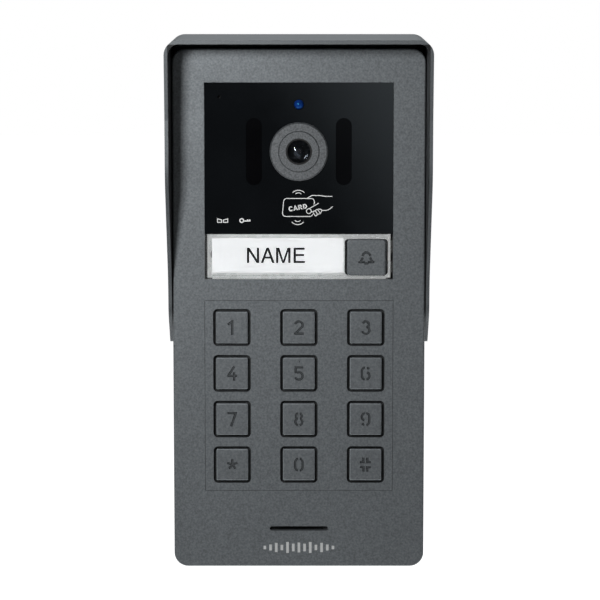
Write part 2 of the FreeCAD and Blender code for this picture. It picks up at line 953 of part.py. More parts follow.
def wall_bracket():
    body = new_body("bracket_sheet")
    outline = Box2D(-S.bracket_half, S.bracket_half, -S.bracket_reach, S.bracket_reach, S.bracket_corner)
    add(body, S.hood_plate, S.bracket_front, outline)
    remove(
        body,
        S.hood_plate,
        S.bracket_front,
        Disc(ZERO, S.cable_level, S.grommet_neck),
        *discs(wall_screws(), S.wall_screw_hole),
    )
    lip_front = S.hook_lip + S.sheet_steel
    shelf_top = S.hook_level + S.sheet_steel
    for side in (-1, 1):
        left, right = side * S.hook_x - S.hook_half, side * S.hook_x + S.hook_half
        add(body, S.bracket_front, lip_front, Box2D(left, right, S.hook_level, shelf_top))
        add(body, S.hook_lip, lip_front, Box2D(left, right, shelf_top, shelf_top + S.hook_rise))
    lug_front = S.lock_depth * 2 - S.bracket_front
    lug_top = S.lug_level + S.sheet_steel
    add(body, S.bracket_front, lug_front, Box2D(-S.lug_half, S.lug_half, S.lug_level, lug_top))
    low, high = S.lug_level - S.overrun, lug_top + S.overrun
    thread = rod_up(S.lock_radius + S.thread_gap, low, high, ZERO, S.lock_depth)
    return named("wall_bracket", cut(body, thread))


def lock_screw():
    bottom = -S.body_height / 2
    shank = rod_up(S.lock_radius, bottom, S.lock_tip, ZERO, S.lock_depth)
    socket = rod_up(S.lock_socket, bottom, bottom + S.lock_socket, ZERO, S.lock_depth)
    return named("lock_screw", cut(fuse(shank, lock_countersink(ZERO)), socket))


def cable_grommet():
    body = new_body("cable_grommet")
    front = S.bracket_front + S.grommet_lip
    turn(
        body,
        ZERO,
        S.cable_level,
        (S.cable_bore, S.fit_gap),
        (S.grommet_flange, S.fit_gap),
        (S.grommet_flange, S.hood_plate),
        (S.grommet_neck, S.hood_plate),
        (S.grommet_neck, S.bracket_front),
        (S.grommet_flange, S.bracket_front),
        (S.grommet_flange, front - S.grommet_lip / 2),
        (S.grommet_neck, front),
        (S.cable_bore, front),
    )
    return body


def rear_housing():
    body = new_body("housing_shell")
    outer = S.side_wall + S.housing_gap
    inner = outer + S.housing_wall
    floor_front = S.housing_floor + S.housing_floor_thick
    add(body, S.housing_back, S.housing_rim, body_outline(outer))
    remove(body, floor_front, S.housing_rim, body_outline(inner))
    remove(body, S.housing_back, S.housing_floor, body_outline(inner))
    inner_top = S.body_height / 2 - inner + S.housing_wall / 2
    rib_bottom = S.hook_level + S.sheet_steel + S.hook_rib_gap
    for side in (-1, 1):
        left, right = side * S.hook_x - S.hook_rib_half, side * S.hook_x + S.hook_rib_half
        rib_front = S.hook_lip - S.hook_rib_gap
        add(body, S.hook_rib_back, rib_front, Box2D(left, right, rib_bottom, inner_top))
    post_top = S.main_back
    add(body, floor_front - S.fit_gap, post_top, *discs(main_board_posts(), S.main_post_radius))
    add(body, floor_front - S.fit_gap, S.name_board_back, *discs(name_board_posts(), S.main_post_radius))
    remove(body, floor_front, post_top, *discs(main_board_posts(), S.board_screw_hole))
    remove(body, floor_front, S.name_board_back, *discs(name_board_posts(), S.board_screw_hole))
    openings = [
        Box2D(
            -S.terminal_opening,
            S.terminal_opening,
            S.terminal_bottom - S.opening_gap,
            S.terminal_top + S.opening_gap,
            S.plate_corner / 2,
        ),
        Disc(S.tamper_x, S.tamper_level, S.plunger_radius + S.hole_gap),
        Disc(S.trimmer_x, S.trimmer_level, S.service_hole),
    ]
    remove(body, S.housing_floor, floor_front, *openings, *discs(corner_screws(), S.boss_pilot + S.hole_gap))
    bottom = -S.body_height / 2
    access = rod_up(S.lock_radius + S.hole_gap * 2, bottom, bottom + inner + S.overrun, ZERO, S.lock_depth)
    return named("rear_housing", cut(body, access))


def housing_seal():
    body = new_body("housing_seal")
    front = S.front_face - S.front_wall
    outer = S.side_wall + S.housing_gap
    add(body, S.housing_rim, front, body_outline(outer))
    remove(body, S.housing_rim, front, body_outline(outer + S.housing_wall))
    return body


def pan_screw(x, z, seat, direction, shank, head, head_thick, length):
    """A screw whose head sits on a depth. The direction is 1 where it points outwards and -1 at the wall."""
    if direction > 0:
        parts = [rod(head, seat - head_thick, seat, x, z), rod(shank, seat, seat + length, x, z)]
        slot_back, slot_front = seat - head_thick, seat - head_thick / 2
    else:
        parts = [rod(head, seat, seat + head_thick, x, z), rod(shank, seat - length, seat, x, z)]
        slot_back, slot_front = seat + head_thick / 2, seat + head_thick
    half = S.screw_slot / 2
    reach = head * S.recess_share
    cross = [
        block(x - half, x + half, slot_back, slot_front, z - reach, z + reach),
        block(x - reach, x + reach, slot_back, slot_front, z - half, z + half),
    ]
    return cut(fuse(*parts), *cross)


def housing_screws():
    size = (S.screw_radius, S.screw_head, S.screw_head_thick, S.screw_length)
    screws = [pan_screw(x, z, S.housing_floor, 1, *size) for x, z in corner_screws()]
    return named("housing_screws", group(*screws))


# ---- camera window and camera ----


def ir_slot(side, gap):
    half = S.ir_width / 2 - gap
    x = side * S.ir_x
    return Box2D(x - half, x + half, S.ir_bottom + gap, S.ir_top - gap, half - S.round_slack)


def camera_window():
    body = new_body("camera_window")
    back = S.front_face - S.seat_depth
    front = back + S.window_thick
    add(body, back, front, Box2D(-S.window_half, S.window_half, S.window_bottom, S.window_top - S.fit_gap))
    remove(
        body,
        back,
        front,
        Disc(ZERO, S.camera_level, S.ring_radius + S.fit_gap),
        Disc(ZERO, S.led_level, S.led_radius + S.fit_gap),
        Disc(S.mic_x, S.mic_level, S.mic_hole),
        ir_slot(-1, ZERO),
        ir_slot(1, ZERO),
    )
    return body


def ir_window(name, side):
    body = new_body(name)
    back = S.front_face - S.seat_depth
    add(body, back, back + S.window_thick - S.ir_sink, ir_slot(side, S.fit_gap / 4))
    return body


def camera_ring():
    body = new_body("camera_ring_turned")
    back = S.front_face - S.seat_depth
    turn(
        body,
        ZERO,
        S.camera_level,
        (S.ring_start, back - S.ring_flange_thick),
        (S.ring_flange, back - S.ring_flange_thick),
        (S.ring_flange, back),
        (S.ring_radius, back),
        (S.ring_radius, S.ring_front - S.key_round),
        (S.ring_radius - S.key_round, S.ring_front),
        (S.ring_start, S.ring_front),
    )
    return named("camera_ring", cut(body, sphere(S.seat_radius, ZERO, S.ball_depth, S.camera_level)))


def camera_bracket():
    front = S.front_face - S.seat_depth - S.ring_flange_thick
    tube = cut(
        rod(S.bracket_tube_outer, S.bracket_tube_back, front, ZERO, S.camera_level),
        rod(S.bracket_tube_inner, S.bracket_tube_back, front, ZERO, S.camera_level),
    )
    reach = S.bracket_tube_outer + S.overrun
    low, high = S.camera_level - reach, S.camera_level + reach
    bore = rod_up(S.pin_radius + S.pin_gap, low, high, ZERO, S.ball_depth)
    return named("camera_bracket", cut(tube, bore))


def camera_cradle():
    back, front = S.ball_depth - S.cradle_half, S.ball_depth + S.cradle_half
    reach = S.cradle_outer + S.overrun
    ring = cut(
        rod(S.cradle_outer, back, front, ZERO, S.camera_level),
        rod(S.cradle_inner, back, front, ZERO, S.camera_level),
        rod_across(S.pin_radius + S.pin_gap, -reach, reach, S.ball_depth, S.camera_level),
    )
    inner, outer = S.cradle_outer - S.cradle_half / 2, S.cradle_outer + S.pin_reach
    pins = [
        rod_up(S.pin_radius, S.camera_level + inner, S.camera_level + outer, ZERO, S.ball_depth),
        rod_up(S.pin_radius, S.camera_level - outer, S.camera_level - inner, ZERO, S.ball_depth),
    ]
    return named("camera_cradle", fuse(ring, *pins))


def camera_ball():
    rear, face = S.ball_depth - S.ball_rear, S.ball_depth + S.ball_face
    zone = overlap(
        sphere(S.ball_radius, ZERO, S.ball_depth, S.camera_level),
        rod(S.ball_radius + S.overrun, rear, face, ZERO, S.camera_level),
    )
    pin = S.cradle_outer - S.fit_gap
    trunnions = rod_across(S.pin_radius, -pin, pin, S.ball_depth, S.camera_level)
    bore = rod(S.barrel_radius, rear - S.overrun, face + S.overrun, ZERO, S.camera_level)
    return named("camera_ball", cut(fuse(zone, trunnions), bore))


def lens_barrel():
    body = new_body("lens_barrel")
    centre = S.ball_depth
    rear, nose = centre - S.ball_rear, centre + S.barrel_front
    sensor = rear + S.sensor_thick + S.fit_gap
    shelf = centre + S.front_glass_base
    inner_front = centre + S.inner_glass_depth
    turn(
        body,
        ZERO,
        S.camera_level,
        (S.barrel_bore, rear),
        (S.barrel_radius, rear),
        (S.barrel_radius, nose),
        (S.front_glass, nose),
        (S.front_glass, shelf),
        (S.iris_radius, shelf - S.inner_glass_thick),
        (S.iris_radius, inner_front),
        (S.inner_glass, inner_front),
        (S.inner_glass, sensor),
        (S.barrel_bore, sensor),
    )
    return body


def lens_front_glass():
    """A dome whose rim sits on the barrel's shelf."""
    base = S.ball_depth + S.front_glass_base
    drop = math.sqrt(SIZES["front_glass_dome"] ** 2 - SIZES["front_glass"] ** 2)
    dome = overlap(
        sphere(S.front_glass_dome, ZERO, base - drop, S.camera_level),
        rod(S.front_glass - S.fit_gap / 4, base, base + S.front_glass_dome, ZERO, S.camera_level),
    )
    return named("lens_front_glass", dome)


def lens_inner_glass():
    front = S.ball_depth + S.inner_glass_depth
    glass = rod(S.inner_glass - S.fit_gap / 4, front - S.inner_glass_thick, front, ZERO, S.camera_level)
    return named("lens_inner_glass", glass)


def sensor_board():
    front = S.ball_depth - S.ball_rear
    half = S.sensor_board_half
    low, high = S.camera_level - half, S.camera_level + half
    return named("sensor_board", block(-half, half, front - S.sensor_board_thick, front, low, high))


def image_sensor():
    back = S.ball_depth - S.ball_rear
    half = S.sensor_half
    chip = block(-half, half, back, back + S.sensor_thick, S.camera_level - half, S.camera_level + half)
    return named("image_sensor", chip)


# ---- infrared board ----


def ir_board():
    body = new_body("ir_board")
    back, front = S.ir_board_back, S.ir_board_back + S.board_thick
    outline = Box2D(-S.ir_board_half, S.ir_board_half, S.ir_board_bottom, S.ir_board_top)
    add(body, back, front, outline)
    holes = discs(ir_board_posts(), S.board_screw_hole)
    remove(body, back, front, Disc(ZERO, S.camera_level, S.ir_board_hole), *holes)
    return body


def domed_led(radius, back, tip, x, z):
    """A round lamp: a cylinder with a hemisphere on its front."""
    return fuse(rod(radius, back, tip - radius, x, z), sphere(radius, x, tip - radius, z))


def ir_leds():
    base = S.ir_board_back + S.board_thick
    lamps = []
    for side in (-1, 1):
        for n in (-1.5, -0.5, 0.5, 1.5):
            z = S.camera_level + n * S.ir_led_pitch
            lamps.append(domed_led(S.ir_led_radius, base, S.ir_led_tip, side * S.ir_led_x, z))
    return named("ir_leds", group(*lamps))


def status_led():
    base = S.ir_board_back + S.board_thick
    return named("status_led", domed_led(S.led_radius, base, S.led_tip, ZERO, S.led_level))


def microphone():
    base = S.ir_board_back + S.board_thick
    return named("microphone", rod(S.mic_radius, base, S.mic_front, S.mic_x, S.mic_level))


def rfid_coil():
    body = new_body("rfid_coil")
    base = S.ir_board_back + S.board_thick
    half = S.post_x - S.post_radius - S.coil_margin
    low, high = S.ir_board_bottom + S.coil_margin, S.ir_board_top - S.coil_margin
    width = S.coil_width
    corner = S.coil_width + S.coil_margin
    add(body, base, base + S.coil_thick, Box2D(-half, half, low, high, corner))
    inside = Box2D(-half + width, half - width, low + width, high - width, corner - width)
    remove(body, base, base + S.coil_thick, inside)
    return body


# ---- name plate and call button ----


def nameplate_cover():
    body = new_body("nameplate_cover")
    pane_back = S.name_front - S.name_pane
    lugs = [
        Box2D(S.name_right, S.name_lug_right, S.lug_high_bottom, S.lug_high_top),
        Box2D(S.name_right, S.name_lug_right, S.lug_low_bottom, S.lug_low_top),
    ]
    add(body, pane_back, S.name_front, Box2D(S.name_left, S.name_right, S.name_base, S.name_top))
    for lug in lugs:
        add(body, pane_back, S.name_front, lug)
    half = S.name_skirt_half
    for low in (S.name_base, S.name_top - S.name_skirt):
        add(body, S.name_back, pane_back, Box2D(-half, half, low, low + S.name_skirt))
    rib_back = pane_back - S.name_pane
    for low, high in ((S.rib_high_bottom, S.rib_high_top), (S.rib_low_bottom, S.rib_low_top)):
        add(body, rib_back, pane_back, Box2D(S.rib_left, S.rib_right, low, high))
    remove(body, pane_back, S.name_front, call_outline(S.call_width, S.call_height, S.call_gap))
    return body


def call_outline(width, height, gap):
    half_width, half_height = width / 2 + gap, height / 2 + gap
    return Box2D(
        S.call_x - half_width,
        S.call_x + half_width,
        S.call_level - half_height,
        S.call_level + half_height,
        S.call_corner,
    )


def name_label():
    back = S.diffuser_front + S.fit_gap / 2
    label = block(S.label_left, S.label_right, back, back + S.label_thick, S.label_bottom, S.label_top)
    return named("name_label", label)


def nameplate_diffuser():
    back, front = S.diffuser_front - S.diffuser_thick, S.diffuser_front
    return named(
        "nameplate_diffuser", block(S.label_left, S.label_right, back, front, S.label_bottom, S.label_top)
    )


def name_board_posts():
    middle = (S.name_board_bottom + S.name_board_top) / 2
    return [(side * S.main_post_x, middle) for side in (-1, 1)]


def nameplate_board():
    body = new_body("nameplate_board")
    back, front = S.name_board_back, S.name_board_back + S.board_thick
    outline = Box2D(-S.name_board_half, S.name_board_half, S.name_board_bottom, S.name_board_top)
    add(body, back, front, outline)
    remove(body, back, front, *discs(name_board_posts(), S.board_screw_hole))
    return body


def nameplate_leds():
    base = S.name_board_back + S.board_thick
    middle = (S.name_board_bottom + S.name_board_top) / 2
    centre = (S.label_left + S.label_right) / 2
    half = S.name_led_half
    lamps = []
    for n in (-1, 0, 1):
        x = centre + n * S.name_led_pitch
        lamps.append(block(x - half, x + half, base, base + S.name_led_thick, middle - half, middle + half))
    return named("nameplate_leds", group(*lamps))


def call_button():
    body = new_body("call_button")
    flange_front = S.call_flange_back + S.call_flange_thick
    add(body, flange_front, S.call_face, call_outline(S.call_width, S.call_height, ZERO))
    soften(body, S.key_round, lambda edge, x, d, z: at_depth(edge, SIZES["call_face"]))
    add(body, S.call_flange_back, flange_front, call_outline(S.call_flange_width, S.call_flange_height, ZERO))
    add(body, S.call_post_tip, S.call_flange_back, Disc(S.call_x, S.call_level, S.call_post))
    bell = Figure(bell_strokes(), S.call_x, S.call_level + S.dot_radius)
    remove(body, S.call_face - S.glyph_depth, S.call_face, bell)
    return body


def call_switch():
    base = S.name_board_back + S.board_thick
    half = S.switch_half
    case = block(
        S.call_x - half, S.call_x + half, base, S.switch_front, S.call_level - half, S.call_level + half
    )
    cap = rod(S.switch_cap, S.switch_front, S.switch_cap_front, S.call_x, S.call_level)
    return named("call_switch", fuse(case, cap))


# ---- keypad ----


def key_places():
    """Each key's name with the place of its centre."""
    places = []
    for row, names in enumerate(KEY_ROWS):
        for column, name in enumerate(names):
            places.append((name, (column - 1) * S.key_pitch_x, S.key_row - row * S.key_pitch_z))
    return places


def plate_posts():
    rows = (S.post_row, S.post_row - S.post_pitch)
    return [(side * S.key_pitch_x / 2, z) for z in rows for side in (-1, 1)]


def keypad_plate():
    body = new_body("keypad_plate")
    back = S.front_face - S.seat_depth
    outline = Box2D(-S.keypad_half, S.keypad_half, S.keypad_bottom, S.keypad_top)
    add(body, back, S.front_face, outline)
    half_width, half_height = S.key_hole_width / 2, S.key_hole_height / 2
    holes = [
        Box2D(x - half_width, x + half_width, z - half_height, z + half_height, S.key_hole_corner)
        for _, x, z in key_places()
    ]
    remove(body, back, S.front_face, *holes)
    board_front = S.keypad_board_back + S.board_thick
    add(body, board_front, back, *discs(plate_posts(), S.plate_post))
    remove(body, board_front, back, *discs(plate_posts(), S.board_screw_hole))
    return body


def key(name, x, z, strokes):
    body = new_body(name)
    half_width, half_height = S.key_width / 2, S.key_height / 2
    flange_front = S.key_back + S.key_flange_thick
    top = Box2D(x - half_width, x + half_width, z - half_height, z + half_height, S.key_corner)
    add(body, flange_front, S.key_face, top)
    soften(body, S.key_round, lambda edge, ex, d, ez: at_depth(edge, SIZES["key_face"]))
    half = S.key_flange / 2
    add(body, S.key_back, flange_front, Box2D(x - half, x + half, z - half, z + half, S.key_hole_corner))
    remove(body, S.key_face - S.glyph_depth, S.key_face, Figure(strokes, x, z))
    if name != "key_5":
        return body
    dot = sphere(S.dot_radius, x, S.key_face, z + S.dot_rise)
    return named(name, fuse(renamed(body), dot))


def renamed(body):
    """Frees a body's label for the finished piece that is made from it."""
    body.Label = f"{body.Label}_cap"
    return body


def keypad_mat():
    body = new_body("keypad_mat")
    half = S.mat_rim_half
    outer = Box2D(-half, half, S.mat_rim_bottom, S.mat_rim_top)
    inner = Box2D(
        -half + S.mat_rim, half - S.mat_rim, S.mat_rim_bottom + S.mat_rim, S.mat_rim_top - S.mat_rim
    )
    web_front = S.mat_back + S.mat_thick
    rim_front = S.front_face - S.front_wall
    centres = [(x, z) for _, x, z in key_places()]
    add(body, S.mat_back, rim_front, outer)
    remove(body, web_front, rim_front, inner)
    add(body, web_front, S.mat_dome_front, *discs(centres, S.mat_dome))
    remove(body, S.mat_back, S.mat_pocket_front, *discs(centres, S.mat_pocket))
    remove(body, S.mat_back, web_front, *discs(plate_posts(), S.plate_post + S.hole_gap))
    return body


def keypad_board():
    body = new_body("keypad_board")
    back, front = S.keypad_board_back, S.mat_back
    half = S.mat_rim_half
    add(body, back, front, Box2D(-half, half, S.mat_rim_bottom, S.mat_rim_top))
    remove(body, back, front, *discs(plate_posts(), S.board_screw_hole))
    return body


def key_contacts():
    front = S.mat_back + S.contact_thick
    pills = [rod(S.contact_radius, S.mat_back, front, x, z) for _, x, z in key_places()]
    return named("key_contacts", group(*pills))


# ---- main board ----


def main_board_posts():
    return [(side * S.main_post_x, z) for z in (S.main_post_high, S.main_post_low) for side in (-1, 1)]


def main_board():
    body = new_body("main_board")
    back, front = S.main_back, S.main_back + S.main_thick
    add(body, back, front, Box2D(-S.main_half, S.main_half, S.main_bottom, S.main_top))
    remove(body, back, front, *discs(main_board_posts(), S.board_screw_hole))
    return body


def board_screws():
    size = (S.board_screw, S.board_screw_head, S.board_screw_head_thick)
    main_front = S.main_back + S.main_thick
    name_front = S.name_board_back + S.board_thick
    thick_length = S.board_screw_length + S.main_thick
    length = S.board_screw_length + S.board_thick
    screws = [pan_screw(x, z, main_front, -1, *size, thick_length) for x, z in main_board_posts()]
    screws += [pan_screw(x, z, name_front, -1, *size, length) for x, z in name_board_posts()]
    screws += [pan_screw(x, z, S.ir_board_back, 1, *size, length) for x, z in ir_board_posts()]
    screws += [pan_screw(x, z, S.keypad_board_back, 1, *size, length) for x, z in plate_posts()]
    return named("board_screws", group(*screws))


def terminal_places():
    return [(n - 3.5) * S.terminal_pitch for n in range(8)]


def terminal_block():
    middle = (S.terminal_bottom + S.terminal_top) / 2
    case = block(
        -S.terminal_half, S.terminal_half, S.terminal_back, S.main_back, S.terminal_bottom, S.terminal_top
    )
    half = S.terminal_mouth / 2
    mouth_back = S.terminal_back + S.terminal_mouth
    tools = []
    for x in terminal_places():
        tools.append(rod(S.terminal_screw + S.fit_gap, S.terminal_back, mouth_back, x, middle))
        mouth_front = mouth_back + S.terminal_mouth
        mouth_top = S.terminal_bottom + S.terminal_mouth
        tools.append(block(x - half, x + half, mouth_back, mouth_front, S.terminal_bottom, mouth_top))
    return named("terminal_block", cut(case, *tools))


def terminal_screws():
    middle = (S.terminal_bottom + S.terminal_top) / 2
    head_back = S.terminal_back + S.fit_gap * 4
    seat = S.terminal_back + S.terminal_mouth
    half = S.screw_slot / 2
    screws = []
    for x in terminal_places():
        left, right = x - S.terminal_screw, x + S.terminal_screw
        slot = block(left, right, head_back, head_back + half, middle - half, middle + half)
        screws.append(cut(rod(S.terminal_screw, head_back, seat, x, middle), slot))
    return named("terminal_screws", group(*screws))


def speaker():
    body = new_body("speaker")
    turn(
        body,
        ZERO,
        S.speaker_level,
        (ZERO, S.speaker_back),
        (S.magnet_radius, S.speaker_back),
        (S.magnet_radius, S.magnet_front),
        (S.speaker_radius, S.speaker_front - S.speaker_seal / 2),
        (S.speaker_radius, S.speaker_front),
        (S.speaker_radius - S.speaker_seal, S.speaker_front),
        (S.magnet_radius / 2, S.magnet_front + S.speaker_seal / 2),
        (ZERO, S.magnet_front + S.speaker_seal / 2),
    )
    return body


def speaker_seal():
    front = S.front_face - S.front_wall
    ring = cut(
        rod(S.speaker_radius, S.speaker_front, front, ZERO, S.speaker_level),
        rod(S.speaker_radius - S.speaker_seal, S.speaker_front, front, ZERO, S.speaker_level),
    )
    return named("speaker_seal", ring)


def door_relay():
    base = S.main_back + S.main_thick
    half_width, half_height = S.relay_width / 2, S.relay_height / 2
    relay = block(
        S.relay_x - half_width,
        S.relay_x + half_width,
        base,
        S.relay_front,
        S.relay_level - half_height,
        S.relay_level + half_height,
    )
    return named("door_relay", relay)


def tamper_switch():
    half = S.tamper_half
    case = block(
        S.tamper_x - half,
        S.tamper_x + half,
        S.housing_floor + S.housing_floor_thick + S.fit_gap,
        S.main_back,
        S.tamper_level - half,
        S.tamper_level + half,
    )
    well_end = S.main_back - S.fit_gap * 2
    well = rod(S.plunger_radius + S.plunger_gap, S.housing_floor, well_end, S.tamper_x, S.tamper_level)
    return named("tamper_switch", cut(case, well))


def tamper_plunger():
    front = S.housing_floor - S.plunger_collar_gap
    pin = rod(S.plunger_radius, S.plunger_tip, S.plunger_inner, S.tamper_x, S.tamper_level)
    collar = rod(S.plunger_collar, front - S.plunger_collar_thick, front, S.tamper_x, S.tamper_level)
    return named("tamper_plunger", fuse(pin, collar))


def volume_trimmer():
    half = S.trimmer_half
    case = block(
        S.trimmer_x - half,
        S.trimmer_x + half,
        S.housing_floor + S.housing_floor_thick + S.fit_gap,
        S.main_back,
        S.trimmer_level - half,
        S.trimmer_level + half,
    )
    seat = rod(
        S.rotor_radius + S.rotor_gap, S.housing_floor, S.rotor_front + S.fit_gap, S.trimmer_x, S.trimmer_level
    )
    return named("volume_trimmer", cut(case, seat))


def trimmer_rotor():
    half = S.rotor_slot / 2
    slot = block(
        S.trimmer_x - S.rotor_radius,
        S.trimmer_x + S.rotor_radius,
        S.rotor_back,
        S.rotor_back + S.rotor_slot,
        S.trimmer_level - half,
        S.trimmer_level + half,
    )
    knob = rod(S.rotor_radius, S.rotor_back, S.rotor_front, S.trimmer_x, S.trimmer_level)
    return named("trimmer_rotor", cut(knob, slot))


def board_components():
    """The processor, the audio amplifier, the supply's coil and two capacitors on the main board's front."""
    base = S.main_back + S.main_thick
    flat = base + S.board_thick
    parts = []
    for x, z, half in CHIPS:
        parts.append(block(x - half, x + half, base, flat, z - half, z + half))
    for x, z in CAPACITORS:
        parts.append(rod(S.capacitor_radius, base, S.relay_front, dim(x), dim(z)))
    left, right, bottom, top = COIL
    parts.append(block(left, right, base, S.magnet_front, bottom, top))
    return named("board_components", group(*parts))


def build_pieces():
    strokes = figure_strokes()
    pieces = [
        front_casing(),
        rain_hood(),
        wall_bracket(),
        lock_screw(),
        cable_grommet(),
        rear_housing(),
        housing_seal(),
        housing_screws(),
        camera_window(),
        ir_window("ir_window_left", -1),
        ir_window("ir_window_right", 1),
        camera_ring(),
        camera_bracket(),
        camera_cradle(),
        camera_ball(),
        lens_barrel(),
        lens_front_glass(),
        lens_inner_glass(),
        sensor_board(),
        image_sensor(),
        ir_board(),
        ir_leds(),
        status_led(),
        microphone(),
        rfid_coil(),
        nameplate_cover(),
        name_label(),
        nameplate_diffuser(),
        nameplate_board(),
        nameplate_leds(),
        call_button(),
        call_switch(),
        keypad_plate(),
        keypad_mat(),
        keypad_board(),
        key_contacts(),
        main_board(),
        board_screws(),
        terminal_block(),
        terminal_screws(),
        speaker(),
        speaker_seal(),
        door_relay(),
        tamper_switch(),
        tamper_plunger(),
        volume_trimmer(),
        trimmer_rotor(),
        board_components(),
    ]
    for name, x, z in key_places():
        pieces.append(key(name, x, z, strokes[name]))
    return pieces


def check_and_export(pieces):
    doc.recompute()
    for item in doc.Objects:
        if "Invalid" in item.State or "Error" in item.State:
            raise ValueError(f"{item.Name} ({item.Label}) failed: {item.State}")
    os.makedirs("parts", exist_ok=True)
    for piece in pieces:
        shape = piece.Shape
        if shape.isNull() or not shape.isValid() or shape.Volume <= 0:
            raise ValueError(f"{piece.Label} has no valid solid")
        shape.exportStep(f"parts/{piece.Label}.step")
        box = shape.BoundBox
        print(
            f"{piece.Label:20} solids {len(shape.Solids):2} volume {shape.Volume:9.1f}  "
            f"x {box.XMin:7.2f} {box.XMax:7.2f}  y {box.YMin:7.2f} {box.YMax:7.2f}  "
            f"z {box.ZMin:7.2f} {box.ZMax:7.2f}"
        )
    print(len(pieces), "pieces")


fill_sheet()
check_and_export(build_pieces())
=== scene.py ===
"""Door intercom panel: finishes, printed marks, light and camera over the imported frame."""

import json
import math

import bmesh
import bpy
from mathutils import Matrix, Vector

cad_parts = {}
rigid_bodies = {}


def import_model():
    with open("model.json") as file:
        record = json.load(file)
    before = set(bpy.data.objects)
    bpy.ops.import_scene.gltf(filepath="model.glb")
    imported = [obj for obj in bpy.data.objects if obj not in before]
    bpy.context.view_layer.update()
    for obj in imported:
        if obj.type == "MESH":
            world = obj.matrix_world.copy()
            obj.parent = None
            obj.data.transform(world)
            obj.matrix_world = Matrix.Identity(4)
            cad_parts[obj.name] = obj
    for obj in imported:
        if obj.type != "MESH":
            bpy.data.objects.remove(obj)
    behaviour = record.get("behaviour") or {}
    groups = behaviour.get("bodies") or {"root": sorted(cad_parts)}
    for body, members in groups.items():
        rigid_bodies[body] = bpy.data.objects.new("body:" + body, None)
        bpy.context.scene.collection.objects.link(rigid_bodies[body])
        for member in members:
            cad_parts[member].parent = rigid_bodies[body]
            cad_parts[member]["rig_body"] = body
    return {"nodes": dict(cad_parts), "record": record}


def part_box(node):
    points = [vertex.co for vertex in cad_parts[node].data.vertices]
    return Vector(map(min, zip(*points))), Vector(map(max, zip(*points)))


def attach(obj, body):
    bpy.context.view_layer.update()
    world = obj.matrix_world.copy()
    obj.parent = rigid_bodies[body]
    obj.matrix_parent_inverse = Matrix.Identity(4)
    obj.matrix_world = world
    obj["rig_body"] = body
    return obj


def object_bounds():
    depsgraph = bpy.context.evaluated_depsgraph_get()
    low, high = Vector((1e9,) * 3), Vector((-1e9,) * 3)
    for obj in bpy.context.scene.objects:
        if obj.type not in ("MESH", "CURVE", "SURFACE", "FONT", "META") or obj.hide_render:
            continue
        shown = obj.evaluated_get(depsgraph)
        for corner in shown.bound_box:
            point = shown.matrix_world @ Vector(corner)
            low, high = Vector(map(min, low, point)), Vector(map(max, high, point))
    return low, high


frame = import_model()
CAD_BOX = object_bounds()

MM = 0.001
SLOT_OF = {part["node"]: part["material_slot"] for part in frame["record"]["subparts"]}
COLOUR_OF = {entry["slot"]: entry["base_color"][:3] for entry in frame["record"]["materials"]}


# ---------------------------------------------------------------- shader nodes


def math_node(tree, operation, first, second):
    """Socket of one sum, product or the like. Each of the two values is a number or a socket."""
    node = tree.nodes.new("ShaderNodeMath")
    node.operation = operation
    for socket, value in zip(node.inputs, (first, second)):
        if isinstance(value, (int, float)):
            socket.default_value = value
        else:
            tree.links.new(value, socket)
    return node.outputs["Value"]


def range_node(tree, value, old, new, course="LINEAR"):
    """Socket of a value carried from the `old` (low, high) to the `new` one and held at its ends."""
    node = tree.nodes.new("ShaderNodeMapRange")
    node.interpolation_type = course
    for socket, number in zip(("From Min", "From Max", "To Min", "To Max"), (*old, *new)):
        node.inputs[socket].default_value = number
    tree.links.new(value, node.inputs["Value"])
    return node.outputs["Result"]


# ---------------------------------------------------------------- finishes


